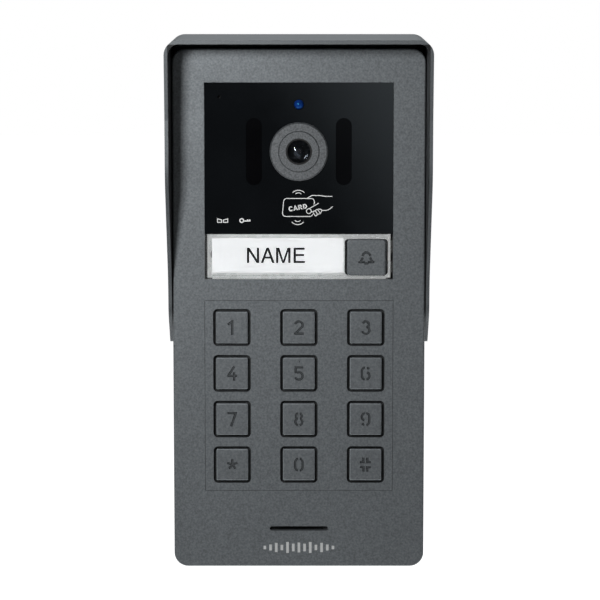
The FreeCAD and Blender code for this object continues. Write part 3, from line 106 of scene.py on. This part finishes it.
class Finish:
    """A Principled material whose patterns are laid out in metres, in the object's own space."""

    # how dark the painted shade is, as a share of the colour it darkens
    SHADE_TONE = 0.1

    def __init__(self, name, colour, roughness, **sockets):
        self.name = name
        self.material = bpy.data.materials.new(name)
        self.material.use_nodes = True
        self.tree = self.material.node_tree
        self.nodes, self.links = self.tree.nodes, self.tree.links
        self.shader = self.nodes["Principled BSDF"]
        self.colour = colour
        self.place = self.nodes.new("ShaderNodeTexCoord").outputs["Object"]
        self.normal = None
        self.shader.inputs["Base Color"].default_value = (*colour, 1)
        self.shader.inputs["Roughness"].default_value = roughness
        for socket, value in sockets.items():
            self.shader.inputs[socket.replace("_", " ")].default_value = value

    def stretched(self, factors):
        """Object coordinates scaled along each axis, for brushed and drawn patterns."""
        mapping = self.nodes.new("ShaderNodeMapping")
        mapping.inputs["Scale"].default_value = factors
        self.links.new(self.place, mapping.inputs["Vector"])
        return mapping.outputs["Vector"]

    def noise(self, grain, detail=3, harshness=0.5, place=None):
        """Noise whose features are about `grain` metres across."""
        texture = self.nodes.new("ShaderNodeTexNoise")
        texture.inputs["Scale"].default_value = 1 / grain
        texture.inputs["Detail"].default_value = detail
        texture.inputs["Roughness"].default_value = harshness
        self.links.new(place or self.place, texture.inputs["Vector"])
        return texture.outputs["Fac"]

    def cells(self, size, output="Distance"):
        """Cells about `size` metres across, as the distance from their middles or as a random colour."""
        texture = self.nodes.new("ShaderNodeTexVoronoi")
        texture.inputs["Scale"].default_value = 1 / size
        self.links.new(self.place, texture.inputs["Vector"])
        return texture.outputs[output]

    def shade(self, value, darkest, lightest, low=0.3, high=0.7):
        """Varies the base colour between two multiples of itself as `value` goes low to high."""
        ramp = self.nodes.new("ShaderNodeValToRGB")
        first, last = ramp.color_ramp.elements
        first.position, last.position = low, high
        first.color = (*(darkest * c for c in self.colour), 1)
        last.color = (*(lightest * c for c in self.colour), 1)
        self.links.new(value, ramp.inputs["Fac"])
        self.links.new(ramp.outputs["Color"], self.shader.inputs["Base Color"])
        return self

    def polish(self, value, smooth, rough):
        """Varies the roughness between two levels over the middle of the range of `value`."""
        spread = range_node(self.tree, value, (0.3, 0.7), (smooth, rough))
        self.links.new(spread, self.shader.inputs["Roughness"])
        return self

    def axes(self):
        """Object coordinates, a socket for each axis."""
        split = self.nodes.new("ShaderNodeSeparateXYZ")
        self.links.new(self.place, split.inputs["Vector"])
        return split.outputs

    def painted(self, amount):
        """Scales the colour that `shade` set by a socket that differs from place to place, for painted
        highlights and painted shade.
        """
        scale = self.nodes.new("ShaderNodeVectorMath")
        scale.operation = "SCALE"
        base = self.shader.inputs["Base Color"]
        self.links.new(base.links[0].from_socket, scale.inputs["Vector"])
        self.links.new(amount, scale.inputs["Scale"])
        self.links.new(scale.outputs["Vector"], base)
        return self

    def shade_behind(self, level, fade=0.4 * MM):
        """Darkens everything behind a level to painted shade, as in the gaps round keys and in openings."""
        unshaded = range_node(self.tree, self.axes()["Y"], (level, level + fade), (1, self.SHADE_TONE))
        return self.painted(unshaded)

    def shade_within(self, half, top, fade=0.15 * MM):
        """Darkens the hollow between two side walls, up to `top`, to painted shade."""
        axes = self.axes()
        width = math_node(self.tree, "ABSOLUTE", axes["X"], 0)
        beside = range_node(self.tree, width, (half, half + fade), (self.SHADE_TONE, 1))
        above = range_node(self.tree, axes["Z"], (top - fade, top), (self.SHADE_TONE, 1))
        return self.painted(math_node(self.tree, "MAXIMUM", beside, above))

    def bump(self, value, height):
        """Raises the surface by up to `height` metres; calls add up."""
        node = self.nodes.new("ShaderNodeBump")
        node.inputs["Distance"].default_value = height
        self.links.new(value, node.inputs["Height"])
        if self.normal:
            self.links.new(self.normal, node.inputs["Normal"])
        self.normal = node.outputs["Normal"]
        self.links.new(self.normal, self.shader.inputs["Normal"])
        return self


def powder(name, colour, grain, height, contrast):
    """Sprayed powder coat: fine pebbled grain with a slight metallic glint."""
    finish = Finish(name, colour, 0.5, Metallic=0.45)
    fine = finish.noise(grain, 2, 0.6)
    broad = finish.noise(30 * grain, 2)
    finish.shade(fine, 1 - contrast, 1 + contrast)
    finish.polish(broad, 0.47, 0.53)
    return finish.bump(fine, height).bump(finish.cells(grain / 2), height / 3)


def toned(colour, amount=1):
    """A paint's colour scaled, and made slightly cooler, as it looks by daylight."""
    return [amount * cast * part for cast, part in zip((0.98, 1.02, 1.05), colour)]


def key_paint(colour, shade_level):
    """Powder coat with a painted highlight, a lighter line where a key's face rounds off into its sides,
    and painted shade behind a given level.
    """
    finish = powder("key_coat", colour, 0.7 * MM, 0.012 * MM, 0.22)
    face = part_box("key_1")[0].y
    rounding = (face + 0.01 * MM, face + 0.08 * MM)
    # painted highlight: just behind the face, along the rounding, the colour is lightened to 1.9 times
    edge_highlight = range_node(finish.tree, finish.axes()["Y"], rounding, (1, 1.9))
    return finish.painted(edge_highlight).shade_behind(shade_level)


def hood_paint(colour):
    """Hood powder coat, with painted shade over the hollow inside its rim."""
    finish = powder("hood_coat", colour, 0.55 * MM, 0.016 * MM, 0.16)
    side_rim, top_rim = 1.3 * MM, 4.4 * MM
    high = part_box("rain_hood")[1]
    return finish.shade_within(high.x - side_rim, high.z - top_rim)


def moulded(name, roughness, grain=0.4 * MM, height=0.01 * MM, tone=1):
    """Moulded plastic or rubber with a fine spark texture from the tool."""
    finish = Finish(name, [tone * part for part in COLOUR_OF[name]], roughness)
    texture = finish.noise(grain)
    finish.shade(finish.noise(12 * grain), 0.88, 1.12)
    finish.polish(texture, roughness - 0.06, roughness + 0.08)
    return finish.bump(texture, height)


def metal(name, roughness):
    """Bare metal, slightly mottled."""
    finish = Finish(name, COLOUR_OF[name], roughness, Metallic=1.0)
    mottle = finish.noise(0.6 * MM, 4, 0.6)
    finish.shade(mottle, 0.88, 1.08)
    finish.polish(mottle, roughness - 0.08, roughness + 0.1)
    return finish.bump(mottle, 0.004 * MM)


def spark_coat(colour):
    """Spark-eroded texture under paint: coarse dark and light flecks."""
    finish = Finish("camera_coat", colour, 0.5, Metallic=0.3)
    coarse = finish.noise(0.5 * MM, 3, 0.7)
    fine = finish.noise(0.3 * MM, 2, 0.7)
    finish.shade(coarse, 0.42, 1.16, 0.35, 0.65)
    return finish.bump(coarse, 0.05 * MM).bump(fine, 0.02 * MM)


def zinc_plate():
    """Zinc-plated sheet: a faint mosaic of crystals over rolling lines."""
    finish = Finish("zinc_steel", COLOUR_OF["zinc_steel"], 0.34, Metallic=1.0)
    crystals = finish.cells(2.2 * MM, "Color")
    lines = finish.noise(0.9 * MM, 3, 0.6, finish.stretched((1, 1, 0.06)))
    finish.shade(crystals, 0.82, 1.1, 0, 1)
    finish.polish(lines, 0.28, 0.46)
    return finish.bump(lines, 0.004 * MM)


def gloss_black(name, roughness, specular):
    """Polished dark acrylic, with faint moulding flow in the surface and smears in the gloss."""
    finish = Finish(
        name, COLOUR_OF[name], roughness, IOR=1.49, Specular_IOR_Level=specular,
        Specular_Tint=(0.8, 0.92, 1, 1),
    )
    smears = finish.noise(14 * MM, 3)
    finish.shade(smears, 0.85, 1.15)
    finish.polish(smears, roughness, roughness + 0.03)
    return finish.bump(finish.noise(25 * MM, 1), 0.01 * MM)


def clear_plastic(colour):
    """Clear moulding with a slightly uneven surface."""
    finish = Finish("clear_polycarbonate", colour, 0.03, IOR=1.58, Transmission_Weight=1.0)
    flow = finish.noise(9 * MM, 2)
    finish.shade(flow, 0.97, 1.0)
    finish.polish(flow, 0.02, 0.06)
    return finish.bump(flow, 0.01 * MM)


def coated_glass(colour):
    """Lens glass with an anti-reflection coat, which keeps its reflections weak."""
    finish = Finish(
        "lens_glass", colour, 0.0, IOR=1.45, Transmission_Weight=1.0, Specular_IOR_Level=0.03,
        Specular_Tint=(0.5, 0.52, 0.56, 1),
    )
    dust = finish.noise(1.5 * MM, 2)
    finish.shade(dust, 0.97, 1.0)
    return finish.polish(dust, 0.0, 0.03)


def paper(glow):
    """White card, lit from behind; its glow is partly painted light, standing in for the lamp light that
    the clear cover in front keeps off.
    """
    finish = Finish(
        "label_card", COLOUR_OF["label_card"], 0.85, Emission_Color=(0.99, 1, 1, 1), Emission_Strength=glow
    )
    fibres = finish.noise(0.5 * MM, 4, 0.6, finish.stretched((0.4, 1, 1)))
    finish.shade(fibres, 0.97, 1.02)
    return finish.bump(fibres, 0.008 * MM)


def milky(glow):
    """The diffuser behind the label, lit by the lamps on the board behind it."""
    finish = Finish(
        "milky_acrylic", COLOUR_OF["milky_acrylic"], 0.35, Subsurface_Weight=0.4,
        Subsurface_Scale=2 * MM, Emission_Color=(0.95, 0.98, 1, 1), Emission_Strength=glow,
    )
    haze = finish.noise(3 * MM, 2)
    return finish.shade(haze, 0.95, 1.03).polish(haze, 0.3, 0.42)


def tinted_lamp(name, colour, glow, transmission, glint=(1, 1, 1)):
    """Polished epoxy lamp dome, unevenly dark as its chip and leads show through."""
    finish = Finish(
        name, colour, 0.16, IOR=1.55, Transmission_Weight=transmission, Specular_Tint=(*glint, 1),
        Emission_Color=(*colour, 1), Emission_Strength=glow,
    )
    depth = finish.noise(1.2 * MM, 2)
    return finish.shade(depth, 0.6, 1.4).bump(depth, 0.01 * MM)


def circuit_board(name, glow):
    """Solder mask over copper: tracks as raised, lighter lanes, and a woven glass ground."""
    colour = COLOUR_OF[name]
    finish = Finish(
        name, colour, 0.32, Coat_Weight=0.2, Emission_Color=(*colour, 1), Emission_Strength=glow
    )
    lanes = finish.cells(3.2 * MM)
    weave = finish.noise(0.35 * MM, 2, 0.5, finish.stretched((1, 1, 3)))
    finish.shade(lanes, 0.85, 1.1, 0.46, 0.5)
    finish.polish(weave, 0.27, 0.4)
    return finish.bump(lanes, 0.02 * MM).bump(weave, 0.004 * MM)


def ink(name, colour):
    """Pad-printed ink: matt, thinner in places."""
    finish = Finish(name, colour, 0.6)
    film = finish.noise(0.25 * MM, 2)
    return finish.shade(film, 0.93, 1.03).bump(film, 0.003 * MM)


def make_finishes():
    """The finish of each slot by its name, and those of the keypad's plate and the sunk figures."""
    casing_paint = toned(COLOUR_OF["powder_coat"])
    casing_grain = (0.68 * MM, 0.02 * MM, 0.26)
    # painted shade darkens the keys' sides and the plate's openings behind this level
    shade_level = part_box("keypad_plate")[0].y + 0.3 * MM
    finishes = [
        powder("powder_coat", casing_paint, *casing_grain),
        # the hood's colour at 0.8: painted shade, for a lip and sides that the lamps light less than the
        # casing
        hood_paint(toned(COLOUR_OF["hood_coat"], 0.8)),
        # the plate's openings take painted shade behind the shade level
        powder("plate_coat", casing_paint, *casing_grain).shade_behind(shade_level),
        key_paint(toned(COLOUR_OF["key_coat"], 0.95), shade_level),
        # the key colour at half: painted shade in the sunk figures
        powder("groove_coat", toned(COLOUR_OF["key_coat"], 0.5), 0.3 * MM, 0.006 * MM, 0.08),
        spark_coat(toned(COLOUR_OF["camera_coat"], 0.9)),
        zinc_plate(),
        moulded("black_abs", 0.48),
        moulded("camera_plastic", 0.5),
        moulded("barrel_black", 0.75, 0.25 * MM, 0.006 * MM, tone=0.6),
        moulded("black_rubber", 0.62, 0.5 * MM, 0.008 * MM),
        moulded("dark_silicone", 0.55, 0.6 * MM, 0.006 * MM),
        moulded("felt_black", 0.9, 0.12 * MM, 0.02 * MM),
        moulded("speaker_black", 0.5, 0.4 * MM, 0.006 * MM),
        moulded("chip_black", 0.45, 0.2 * MM, 0.006 * MM),
        moulded("terminal_green", 0.4),
        moulded("relay_blue", 0.35),
        moulded("plunger_red", 0.4),
        gloss_black("black_acrylic", 0.04, 0.5),
        gloss_black("ir_acrylic", 0.12, 0.11),
        clear_plastic((0.96, 0.97, 0.98)),
        coated_glass((0.72, 0.77, 0.84)),
        paper(0.62),
        milky(0.3),
        circuit_board("board_green", 0.0),
        # the white board glows though it is no lamp: painted light that brightens the clear cover's strips
        # in front of it
        circuit_board("board_white", 0.42),
        tinted_lamp("ir_lamp", COLOUR_OF["ir_lamp"], 0, 0.3),
        tinted_lamp("blue_lamp", (0.006, 0.035, 0.2), 0.05, 0.0, (0.1, 0.75, 1)),
        tinted_lamp("white_lamp", COLOUR_OF["white_lamp"], 0.3, 0.0),
        metal("copper_track", 0.28),
        metal("terminal_brass", 0.3),
    ]
    return {finish.name: finish.material for finish in finishes}


def dress_frame(finishes):
    """Puts each slot's finish on the CAD nodes that use it."""
    for name, node in frame["nodes"].items():
        finish = "plate_coat" if name == "keypad_plate" else SLOT_OF[name]
        for entry in node.material_slots:
            entry.material = finishes[finish]


# ---------------------------------------------------------------- printed marks


def pen_offset(before, here, after):
    """Unit-width offset to the left of a line at `here`, lengthened so that a corner keeps its width."""
    arriving = (here - (before or here)).normalized()
    leaving = ((after or here) - here).normalized()
    normals = [Vector((-way.y, way.x)) for way in (arriving, leaving) if way.length]
    middle = sum(normals, Vector((0, 0))).normalized()
    return middle / max(middle.dot(normals[0]), 0.5)


def stroke(points, width, closed=False):
    """Outline loops of a line through (x, z) points, drawn `width` wide."""
    points = [Vector(point) for point in points]
    count = len(points)
    left, right = [], []
    for i, here in enumerate(points):
        before = points[i - 1] if closed or i else None
        after = points[(i + 1) % count] if closed or i < count - 1 else None
        offset = pen_offset(before, here, after) * width / 2
        left.append(here + offset)
        right.append(here - offset)
    return [left, right] if closed else [left + right[::-1]]


def bow(left, right, rise, steps=12):
    """Points on the arc from left to right that rises `rise` above their chord, or hangs below it."""
    left, right = Vector(left), Vector(right)
    half = (right - left).length / 2
    radius = (half**2 + rise**2) / (2 * rise)
    centre = (left + right) / 2 + Vector((0, rise - radius))
    sweep = math.asin(half / abs(radius))
    way = math.copysign(1, rise)
    turns = [sweep * (2 * i / steps - 1) for i in range(steps + 1)]
    return [centre + radius * Vector((way * math.sin(turn), math.cos(turn))) for turn in turns]


def round_loop(x, z, radius, steps=24):
    """Points round a circle."""
    turns = [2 * math.pi * i / steps for i in range(steps)]
    return [(x + radius * math.cos(turn), z + radius * math.sin(turn)) for turn in turns]


def moved(shape, x, z, size=1, turn=0):
    """A shape's loops scaled, turned by degrees, then moved to (x, z)."""
    spin = Matrix.Rotation(math.radians(turn), 2)
    return [[spin @ (Vector(point) * size) + Vector((x, z)) for point in loop] for loop in shape]


def print_marks(name, node, shapes, centre, material, thickness=0.02 * MM):
    """Fills each shape, in millimetres round centre (x, z), as a film of ink on a node's front face."""
    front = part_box(node)[0].y
    film = bmesh.new()
    for shape in shapes:
        edges = []
        for loop in shape:
            places = [(centre[0] + x * MM, front - thickness, centre[1] + z * MM) for x, z in loop]
            corners = [film.verts.new(place) for place in places]
            edges += [film.edges.new(pair) for pair in zip(corners, corners[1:] + corners[:1])]
        bmesh.ops.triangle_fill(film, use_beauty=True, use_dissolve=False, edges=edges)
    outline = [edge for edge in film.edges if len(edge.link_faces) == 1]
    skirt = bmesh.ops.extrude_edge_only(film, edges=outline)
    for corner in skirt["geom"]:
        if isinstance(corner, bmesh.types.BMVert):
            corner.co.y = front
    for face in film.faces:
        if face.normal.y > 0.5:
            face.normal_flip()
    add_piece(name, film, node, material)


# Capitals one unit high, as outlines from their lower left corner.
LETTER_N = [
    [
        (0, 0), (0, 1), (0.165, 1), (0.645, 0.26), (0.645, 1), (0.8, 1), (0.8, 0), (0.635, 0),
        (0.155, 0.74), (0.155, 0),
    ]
]
LETTER_A = [
    [(0, 0), (0.37, 1), (0.535, 1), (0.905, 0), (0.74, 0), (0.635, 0.29), (0.265, 0.29), (0.16, 0)],
    [(0.31, 0.42), (0.59, 0.42), (0.485, 0.7), (0.452, 0.83), (0.415, 0.7)],
]
LETTER_M = [
    [
        (0, 0), (0, 1), (0.215, 1), (0.42, 0.36), (0.475, 0.17), (0.53, 0.36), (0.745, 1), (0.945, 1),
        (0.945, 0), (0.795, 0), (0.795, 0.75), (0.55, 0), (0.4, 0), (0.15, 0.75), (0.15, 0),
    ]
]
LETTER_E = [
    [
        (0, 0), (0, 1), (0.72, 1), (0.72, 0.862), (0.155, 0.862), (0.155, 0.588), (0.682, 0.588),
        (0.682, 0.45), (0.155, 0.45), (0.155, 0.138), (0.742, 0.138), (0.742, 0),
    ]
]


def name_text():
    """The sample word on the label, with its middle at the origin, in millimetres."""
    height = 5.5
    # each letter and its left edge, in letter heights
    word = [(LETTER_N, 0), (LETTER_A, 0.9), (LETTER_M, 1.89), (LETTER_E, 3.03)]
    width = word[-1][1] + max(x for x, z in LETTER_E[0])
    return [moved(letter, (x - width / 2) * height, -height / 2, height) for letter, x in word]


def card_word():
    """Four bold capitals in strokes, on a baseline that rises to the right."""
    heavy, medium, light = 0.4, 0.36, 0.34
    curve_c = [(1.35, 1.3), (0.95, 1.58), (0.5, 1.5), (0.2, 0.85), (0.5, 0.2), (0.95, 0.12), (1.35, 0.4)]
    roof_a = [(0.08, 0), (0.75, 1.6), (1.42, 0)]
    bar_a = [(0.35, 0.5), (1.15, 0.5)]
    stem = [(0.25, 0), (0.25, 1.7)]
    bowl_r = [(0.25, 1.52), (0.95, 1.52), (1.2, 1.2), (0.95, 0.85), (0.25, 0.85)]
    leg_r = [(0.75, 0.85), (1.3, 0)]
    bowl_d = [(0.25, 1.52), (0.8, 1.52), (1.25, 1.1), (1.25, 0.6), (0.8, 0.18), (0.25, 0.18)]
    word = [
        [(curve_c, heavy)],
        [(roof_a, heavy), (bar_a, medium)],
        [(stem, heavy), (bowl_r, light), (leg_r, heavy)],
        [(stem, heavy), (bowl_d, medium)],
    ]
    pitch, rise = 1.74, 9.5
    start = Vector((-3.55, -1.42))
    step = Matrix.Rotation(math.radians(rise), 2) @ Vector((pitch, 0))
    return [
        moved(stroke(line, pen), *(start + i * step), turn=rise)
        for i, letter in enumerate(word)
        for line, pen in letter
    ]


def card_icon():
    """A card held by a hand between two pairs of radio waves, in millimetres round the card's middle."""
    pen = 0.27
    card = [
        (5.28, 1.05), (5.56, 1.85), (5.42, 2.5), (5.1, 2.97), (4.62, 3.2), (-4.5, 3.2), (-5.1, 2.93),
        (-5.44, 2.2), (-5.84, -2.1), (-5.58, -2.85), (-4.9, -3.2), (4.1, -3.2), (4.5, -2.98),
        (5.05, -2.32),
    ]
    thumb = [(7.02, 1.5), (3.75, -0.36)]
    arm_top = [(2.95, 3.3), (3.9, 3.85), (4.6, 4.27), (7.4, 4.28), (9.2, 3.98), (11.85, 3.94)]
    arm_low = [(8.15, -1.04), (9.78, -1.08), (10.73, -0.68), (11.5, -0.1), (12.07, 0.41)]
    first = [
        (4.5, -1.62), (4.95, -1.55), (5.35, -1.3), (5.84, -1.14), (6.47, -2.12), (6.58, -2.52),
        (6.31, -2.9), (5.95, -2.96), (5.6, -2.7), (5.1, -1.8),
    ]
    second = [
        (5.84, -1.14), (6.2, -0.8), (6.62, -0.72), (7.33, -1.66), (7.4, -2.05), (7.1, -2.32), (6.6, -2.45),
    ]
    third = [
        (6.62, -0.72), (7.1, -0.57), (7.81, -0.63), (8.15, -0.97), (8.04, -1.5), (7.57, -2.17), (7.3, -2.2),
    ]
    waves = [
        bow((-2.23, 5.31), (1.97, 5.31), 0.81), bow((-1.19, 4.79), (0.87, 4.79), 0.42),
        bow((-1.49, -4.57), (0.57, -4.57), -0.44), bow((-2.52, -5.16), (1.68, -5.16), -0.96),
    ]
    lines = [card, thumb, arm_top, arm_low, first, second, third, *waves]
    tip = stroke(round_loop(3.55, -1.32, 0.86), pen, closed=True)
    return [stroke(line, pen) for line in lines] + [tip] + card_word()


def gate_icon():
    """Two gate leaves, in millimetres round their meeting line."""
    pen = 0.29
    leaf = [(0.33, -0.62), (0.33, 0.2), (1.82, 0.62), (1.82, -0.62)]
    return [stroke(leaf, pen, closed=True), stroke([(-x, z) for x, z in leaf], pen, closed=True)]


def lock_icon():
    """A door key lying on its side with its bits up, in millimetres round its middle."""
    handle = stroke(round_loop(-1.2, 0, 0.66, 16), 0.44, closed=True)
    shaft = stroke([(-0.35, -0.15), (1.95, -0.15)], 0.4)
    bits = [stroke([(x, 0.02), (x, 0.42)], 0.42) for x in (0.95, 1.65)]
    return [handle, shaft, *bits]


def sound_bars():
    """A row of bars like a sound level, in millimetres round its middle."""
    heights = (1.3, 2.2, 3.4, 2.0, 4.0, 2.8, 3.6, 2.8, 4.0, 2.0, 3.4, 2.2, 1.3)
    pitch, width = 2.05, 0.95
    first = -pitch * (len(heights) - 1) / 2
    return [
        stroke([(first + i * pitch, -height / 2), (first + i * pitch, height / 2)], width)
        for i, height in enumerate(heights)
    ]


def face_level(mesh):
    """Where the largest flat area that faces forward lies."""
    areas = {}
    for face in mesh.faces:
        if face.normal.y < -0.99:
            level = round(face.verts[0].co.y, 5)
            areas[level] = areas.get(level, 0) + face.calc_area()
    return max(areas, key=areas.get)


def line_figure(node, material, slope=0.27 * MM, clear=0.01 * MM):
    """Sloping sides and a floor for the figure sunk into a node's front, as the mould's tool leaves it."""
    shallowest, deepest, weld = 0.2 * MM, 0.7 * MM, 0.002 * MM
    liner = bmesh.new()
    liner.from_mesh(frame["nodes"][node].data)
    level = face_level(liner)
    others = [
        face
        for face in liner.faces
        if face.normal.y >= -0.99 or not shallowest < face.verts[0].co.y - level < deepest
    ]
    bmesh.ops.delete(liner, geom=others, context="FACES")
    bmesh.ops.remove_doubles(liner, verts=liner.verts, dist=weld)
    bmesh.ops.translate(liner, verts=liner.verts, vec=(0, -clear, 0))
    rim = {corner for edge in liner.edges if edge.is_boundary for corner in edge.verts}
    bmesh.ops.inset_region(
        liner, faces=liner.faces, thickness=slope, use_boundary=True, use_even_offset=True
    )
    for corner in rim:
        corner.co.y = level + clear
    add_piece(f"{node}_figure", liner, node, material)


def add_piece(name, shape, node, material):
    """Makes a bmesh into an object that rides with a node and takes its slot."""
    mesh = bpy.data.meshes.new(name)
    shape.to_mesh(mesh)
    shape.free()
    mesh.materials.append(material)
    piece = bpy.data.objects.new(name, mesh)
    bpy.context.scene.collection.objects.link(piece)
    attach(piece, frame["nodes"][node]["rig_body"])


def line_figures(material):
    """Lines the figure of each key and of the call button."""
    for node in frame["nodes"]:
        if SLOT_OF[node] == "key_coat":
            line_figure(node, material)


def print_panel():
    """The marks on the window, the label and the casing's foot."""
    white = ink("white_ink", (0.92, 0.93, 0.93)).material
    grey = ink("grey_ink", (0.5, 0.51, 0.51)).material
    black = ink("black_ink", (0.002, 0.002, 0.002)).material
    # heights above the lower edge of the part that carries the mark, and places left of its middle
    card_height, symbol_height, bars_height = 9.46 * MM, 4.8 * MM, 6.9 * MM
    gate_left, lock_left, word_left = 27.15 * MM, 19.15 * MM, 0.65 * MM
    window_low, window_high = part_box("camera_window")
    middle = (window_low.x + window_high.x) / 2
    card_level = window_low.z + card_height
    symbol_level = window_low.z + symbol_height
    print_marks("card_mark", "camera_window", card_icon(), (middle, card_level), white)
    print_marks("gate_mark", "camera_window", gate_icon(), (middle - gate_left, symbol_level), white)
    print_marks("lock_mark", "camera_window", lock_icon(), (middle - lock_left, symbol_level), white)
    label_low, label_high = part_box("name_label")
    label_middle = ((label_low.x + label_high.x) / 2 - word_left, (label_low.z + label_high.z) / 2)
    print_marks("name_word", "name_label", name_text(), label_middle, black)
    casing_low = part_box("front_casing")[0]
    print_marks("sound_mark", "front_casing", sound_bars(), (middle, casing_low.z + bars_height), grey)


# ---------------------------------------------------------------- studio


def add_floor():
    """A plain white floor below the panel, which starts a little in front of it."""
    drop, front_edge, reach = 0.16, -0.15, 6.0
    level = CAD_BOX[0].z - drop
    outline = ((-reach, front_edge), (reach, front_edge), (reach, 2 * reach), (-reach, 2 * reach))
    mesh = bpy.data.meshes.new("floor")
    mesh.from_pydata([(x, y, level) for x, y in outline], [], [(0, 1, 2, 3)])
    floor = bpy.data.objects.new("floor", mesh)
    bpy.context.scene.collection.objects.link(floor)
    finish = Finish(
        "floor_paint", (0.9, 0.9, 0.9), 0.9, Emission_Color=(1, 1, 1, 1), Emission_Strength=0.95
    )
    finish.shade(finish.noise(0.4, 2), 0.98, 1.0)
    mesh.materials.append(finish.material)


def add_world():
    """White backdrop; for everything else a dim room with a soft card in it, ahead on the right."""
    # the parts of a direction run from -1 to 1, and straight ahead of the panel its depth is -1
    slant, room = 0.62, 0.08
    card_edge, card_levels = (-0.03, 0.075), (0.06, 1.06)
    ahead_edge = (-0.99, -0.96)
    world = bpy.data.worlds.new("studio")
    bpy.context.scene.world = world
    world.use_nodes = True
    tree = world.node_tree
    direction = tree.nodes.new("ShaderNodeSeparateXYZ")
    tree.links.new(tree.nodes.new("ShaderNodeTexCoord").outputs["Generated"], direction.inputs["Vector"])
    side, depth, height = direction.outputs
    across = math_node(tree, "ADD", side, math_node(tree, "MULTIPLY", height, slant))
    card = range_node(tree, across, card_edge, card_levels, "SMOOTHSTEP")
    ahead = range_node(tree, depth, ahead_edge, (1, 0), "SMOOTHSTEP")
    glow = math_node(tree, "MULTIPLY", math_node(tree, "SUBTRACT", card, room), ahead)
    dim = math_node(tree, "ADD", glow, room)
    seen = tree.nodes.new("ShaderNodeLightPath").outputs["Is Camera Ray"]
    backdrop = tree.nodes["Background"].inputs
    tree.links.new(math_node(tree, "MAXIMUM", seen, dim), backdrop["Strength"])
    backdrop["Color"].default_value = (1, 1, 1, 1)


def around(target, left_degrees, up_degrees, distance):
    """A point at that angle to the left of straight ahead of the target, and above it."""
    left, up = math.radians(left_degrees), math.radians(up_degrees)
    way = Vector((-math.sin(left) * math.cos(up), -math.cos(left) * math.cos(up), math.sin(up)))
    return Vector(target) + distance * way


def add_softbox(name, place, target, width, height, watts):
    """An area lamp aimed at the target and hidden from the camera."""
    lamp = bpy.data.lights.new(name, "AREA")
    lamp.shape = "RECTANGLE"
    lamp.size, lamp.size_y = width, height
    lamp.energy = watts
    holder = bpy.data.objects.new(name, lamp)
    bpy.context.scene.collection.objects.link(holder)
    holder.location = place
    holder.rotation_euler = (Vector(target) - Vector(place)).to_track_quat("-Z", "Y").to_euler()
    holder.visible_camera = False


def add_lights(middle):
    """A small lamp ahead on the left, and a broad one overhead and a little behind the front."""
    ahead = around(middle, left_degrees=20, up_degrees=17, distance=0.5)
    add_softbox("key_softbox", ahead, middle, width=0.09, height=0.09, watts=1.62)
    overhead = around(middle, left_degrees=10, up_degrees=104, distance=0.7)
    add_softbox("top_softbox", overhead, middle, width=0.5, height=0.3, watts=6.0)


def add_camera(middle):
    """Square on, a little above, at arm's length with a long lens."""
    off_centre = 0.4 * MM
    lens = bpy.data.cameras.new("camera")
    lens.lens = 131
    lens.sensor_width = 36
    lens.clip_start = 0.05
    camera = bpy.data.objects.new("camera", lens)
    bpy.context.scene.collection.objects.link(camera)
    aim = middle + Vector((off_centre, 0, 0))
    camera.location = around(aim, left_degrees=0, up_degrees=5.8, distance=0.78)
    camera.rotation_euler = (aim - camera.location).to_track_quat("-Z", "Y").to_euler()
    bpy.context.scene.camera = camera


def set_studio():
    """Floor, backdrop, lights and camera, set out from the middle of the panel's front."""
    bpy.context.scene.view_settings.view_transform = "Standard"
    # the hood stands above the casing, so the panel's middle is a little above the casing's
    hood_lift = 3.8 * MM
    casing_low, casing_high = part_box("front_casing")
    middle = (casing_low + casing_high) / 2
    middle.y = casing_low.y
    middle.z += hood_lift
    add_floor()
    add_world()
    add_lights(middle)
    add_camera(middle)


finishes = make_finishes()
dress_frame(finishes)
# the figures' liners take the half-bright groove finish, a painted shade
line_figures(finishes["groove_coat"])
print_panel()
set_studio()
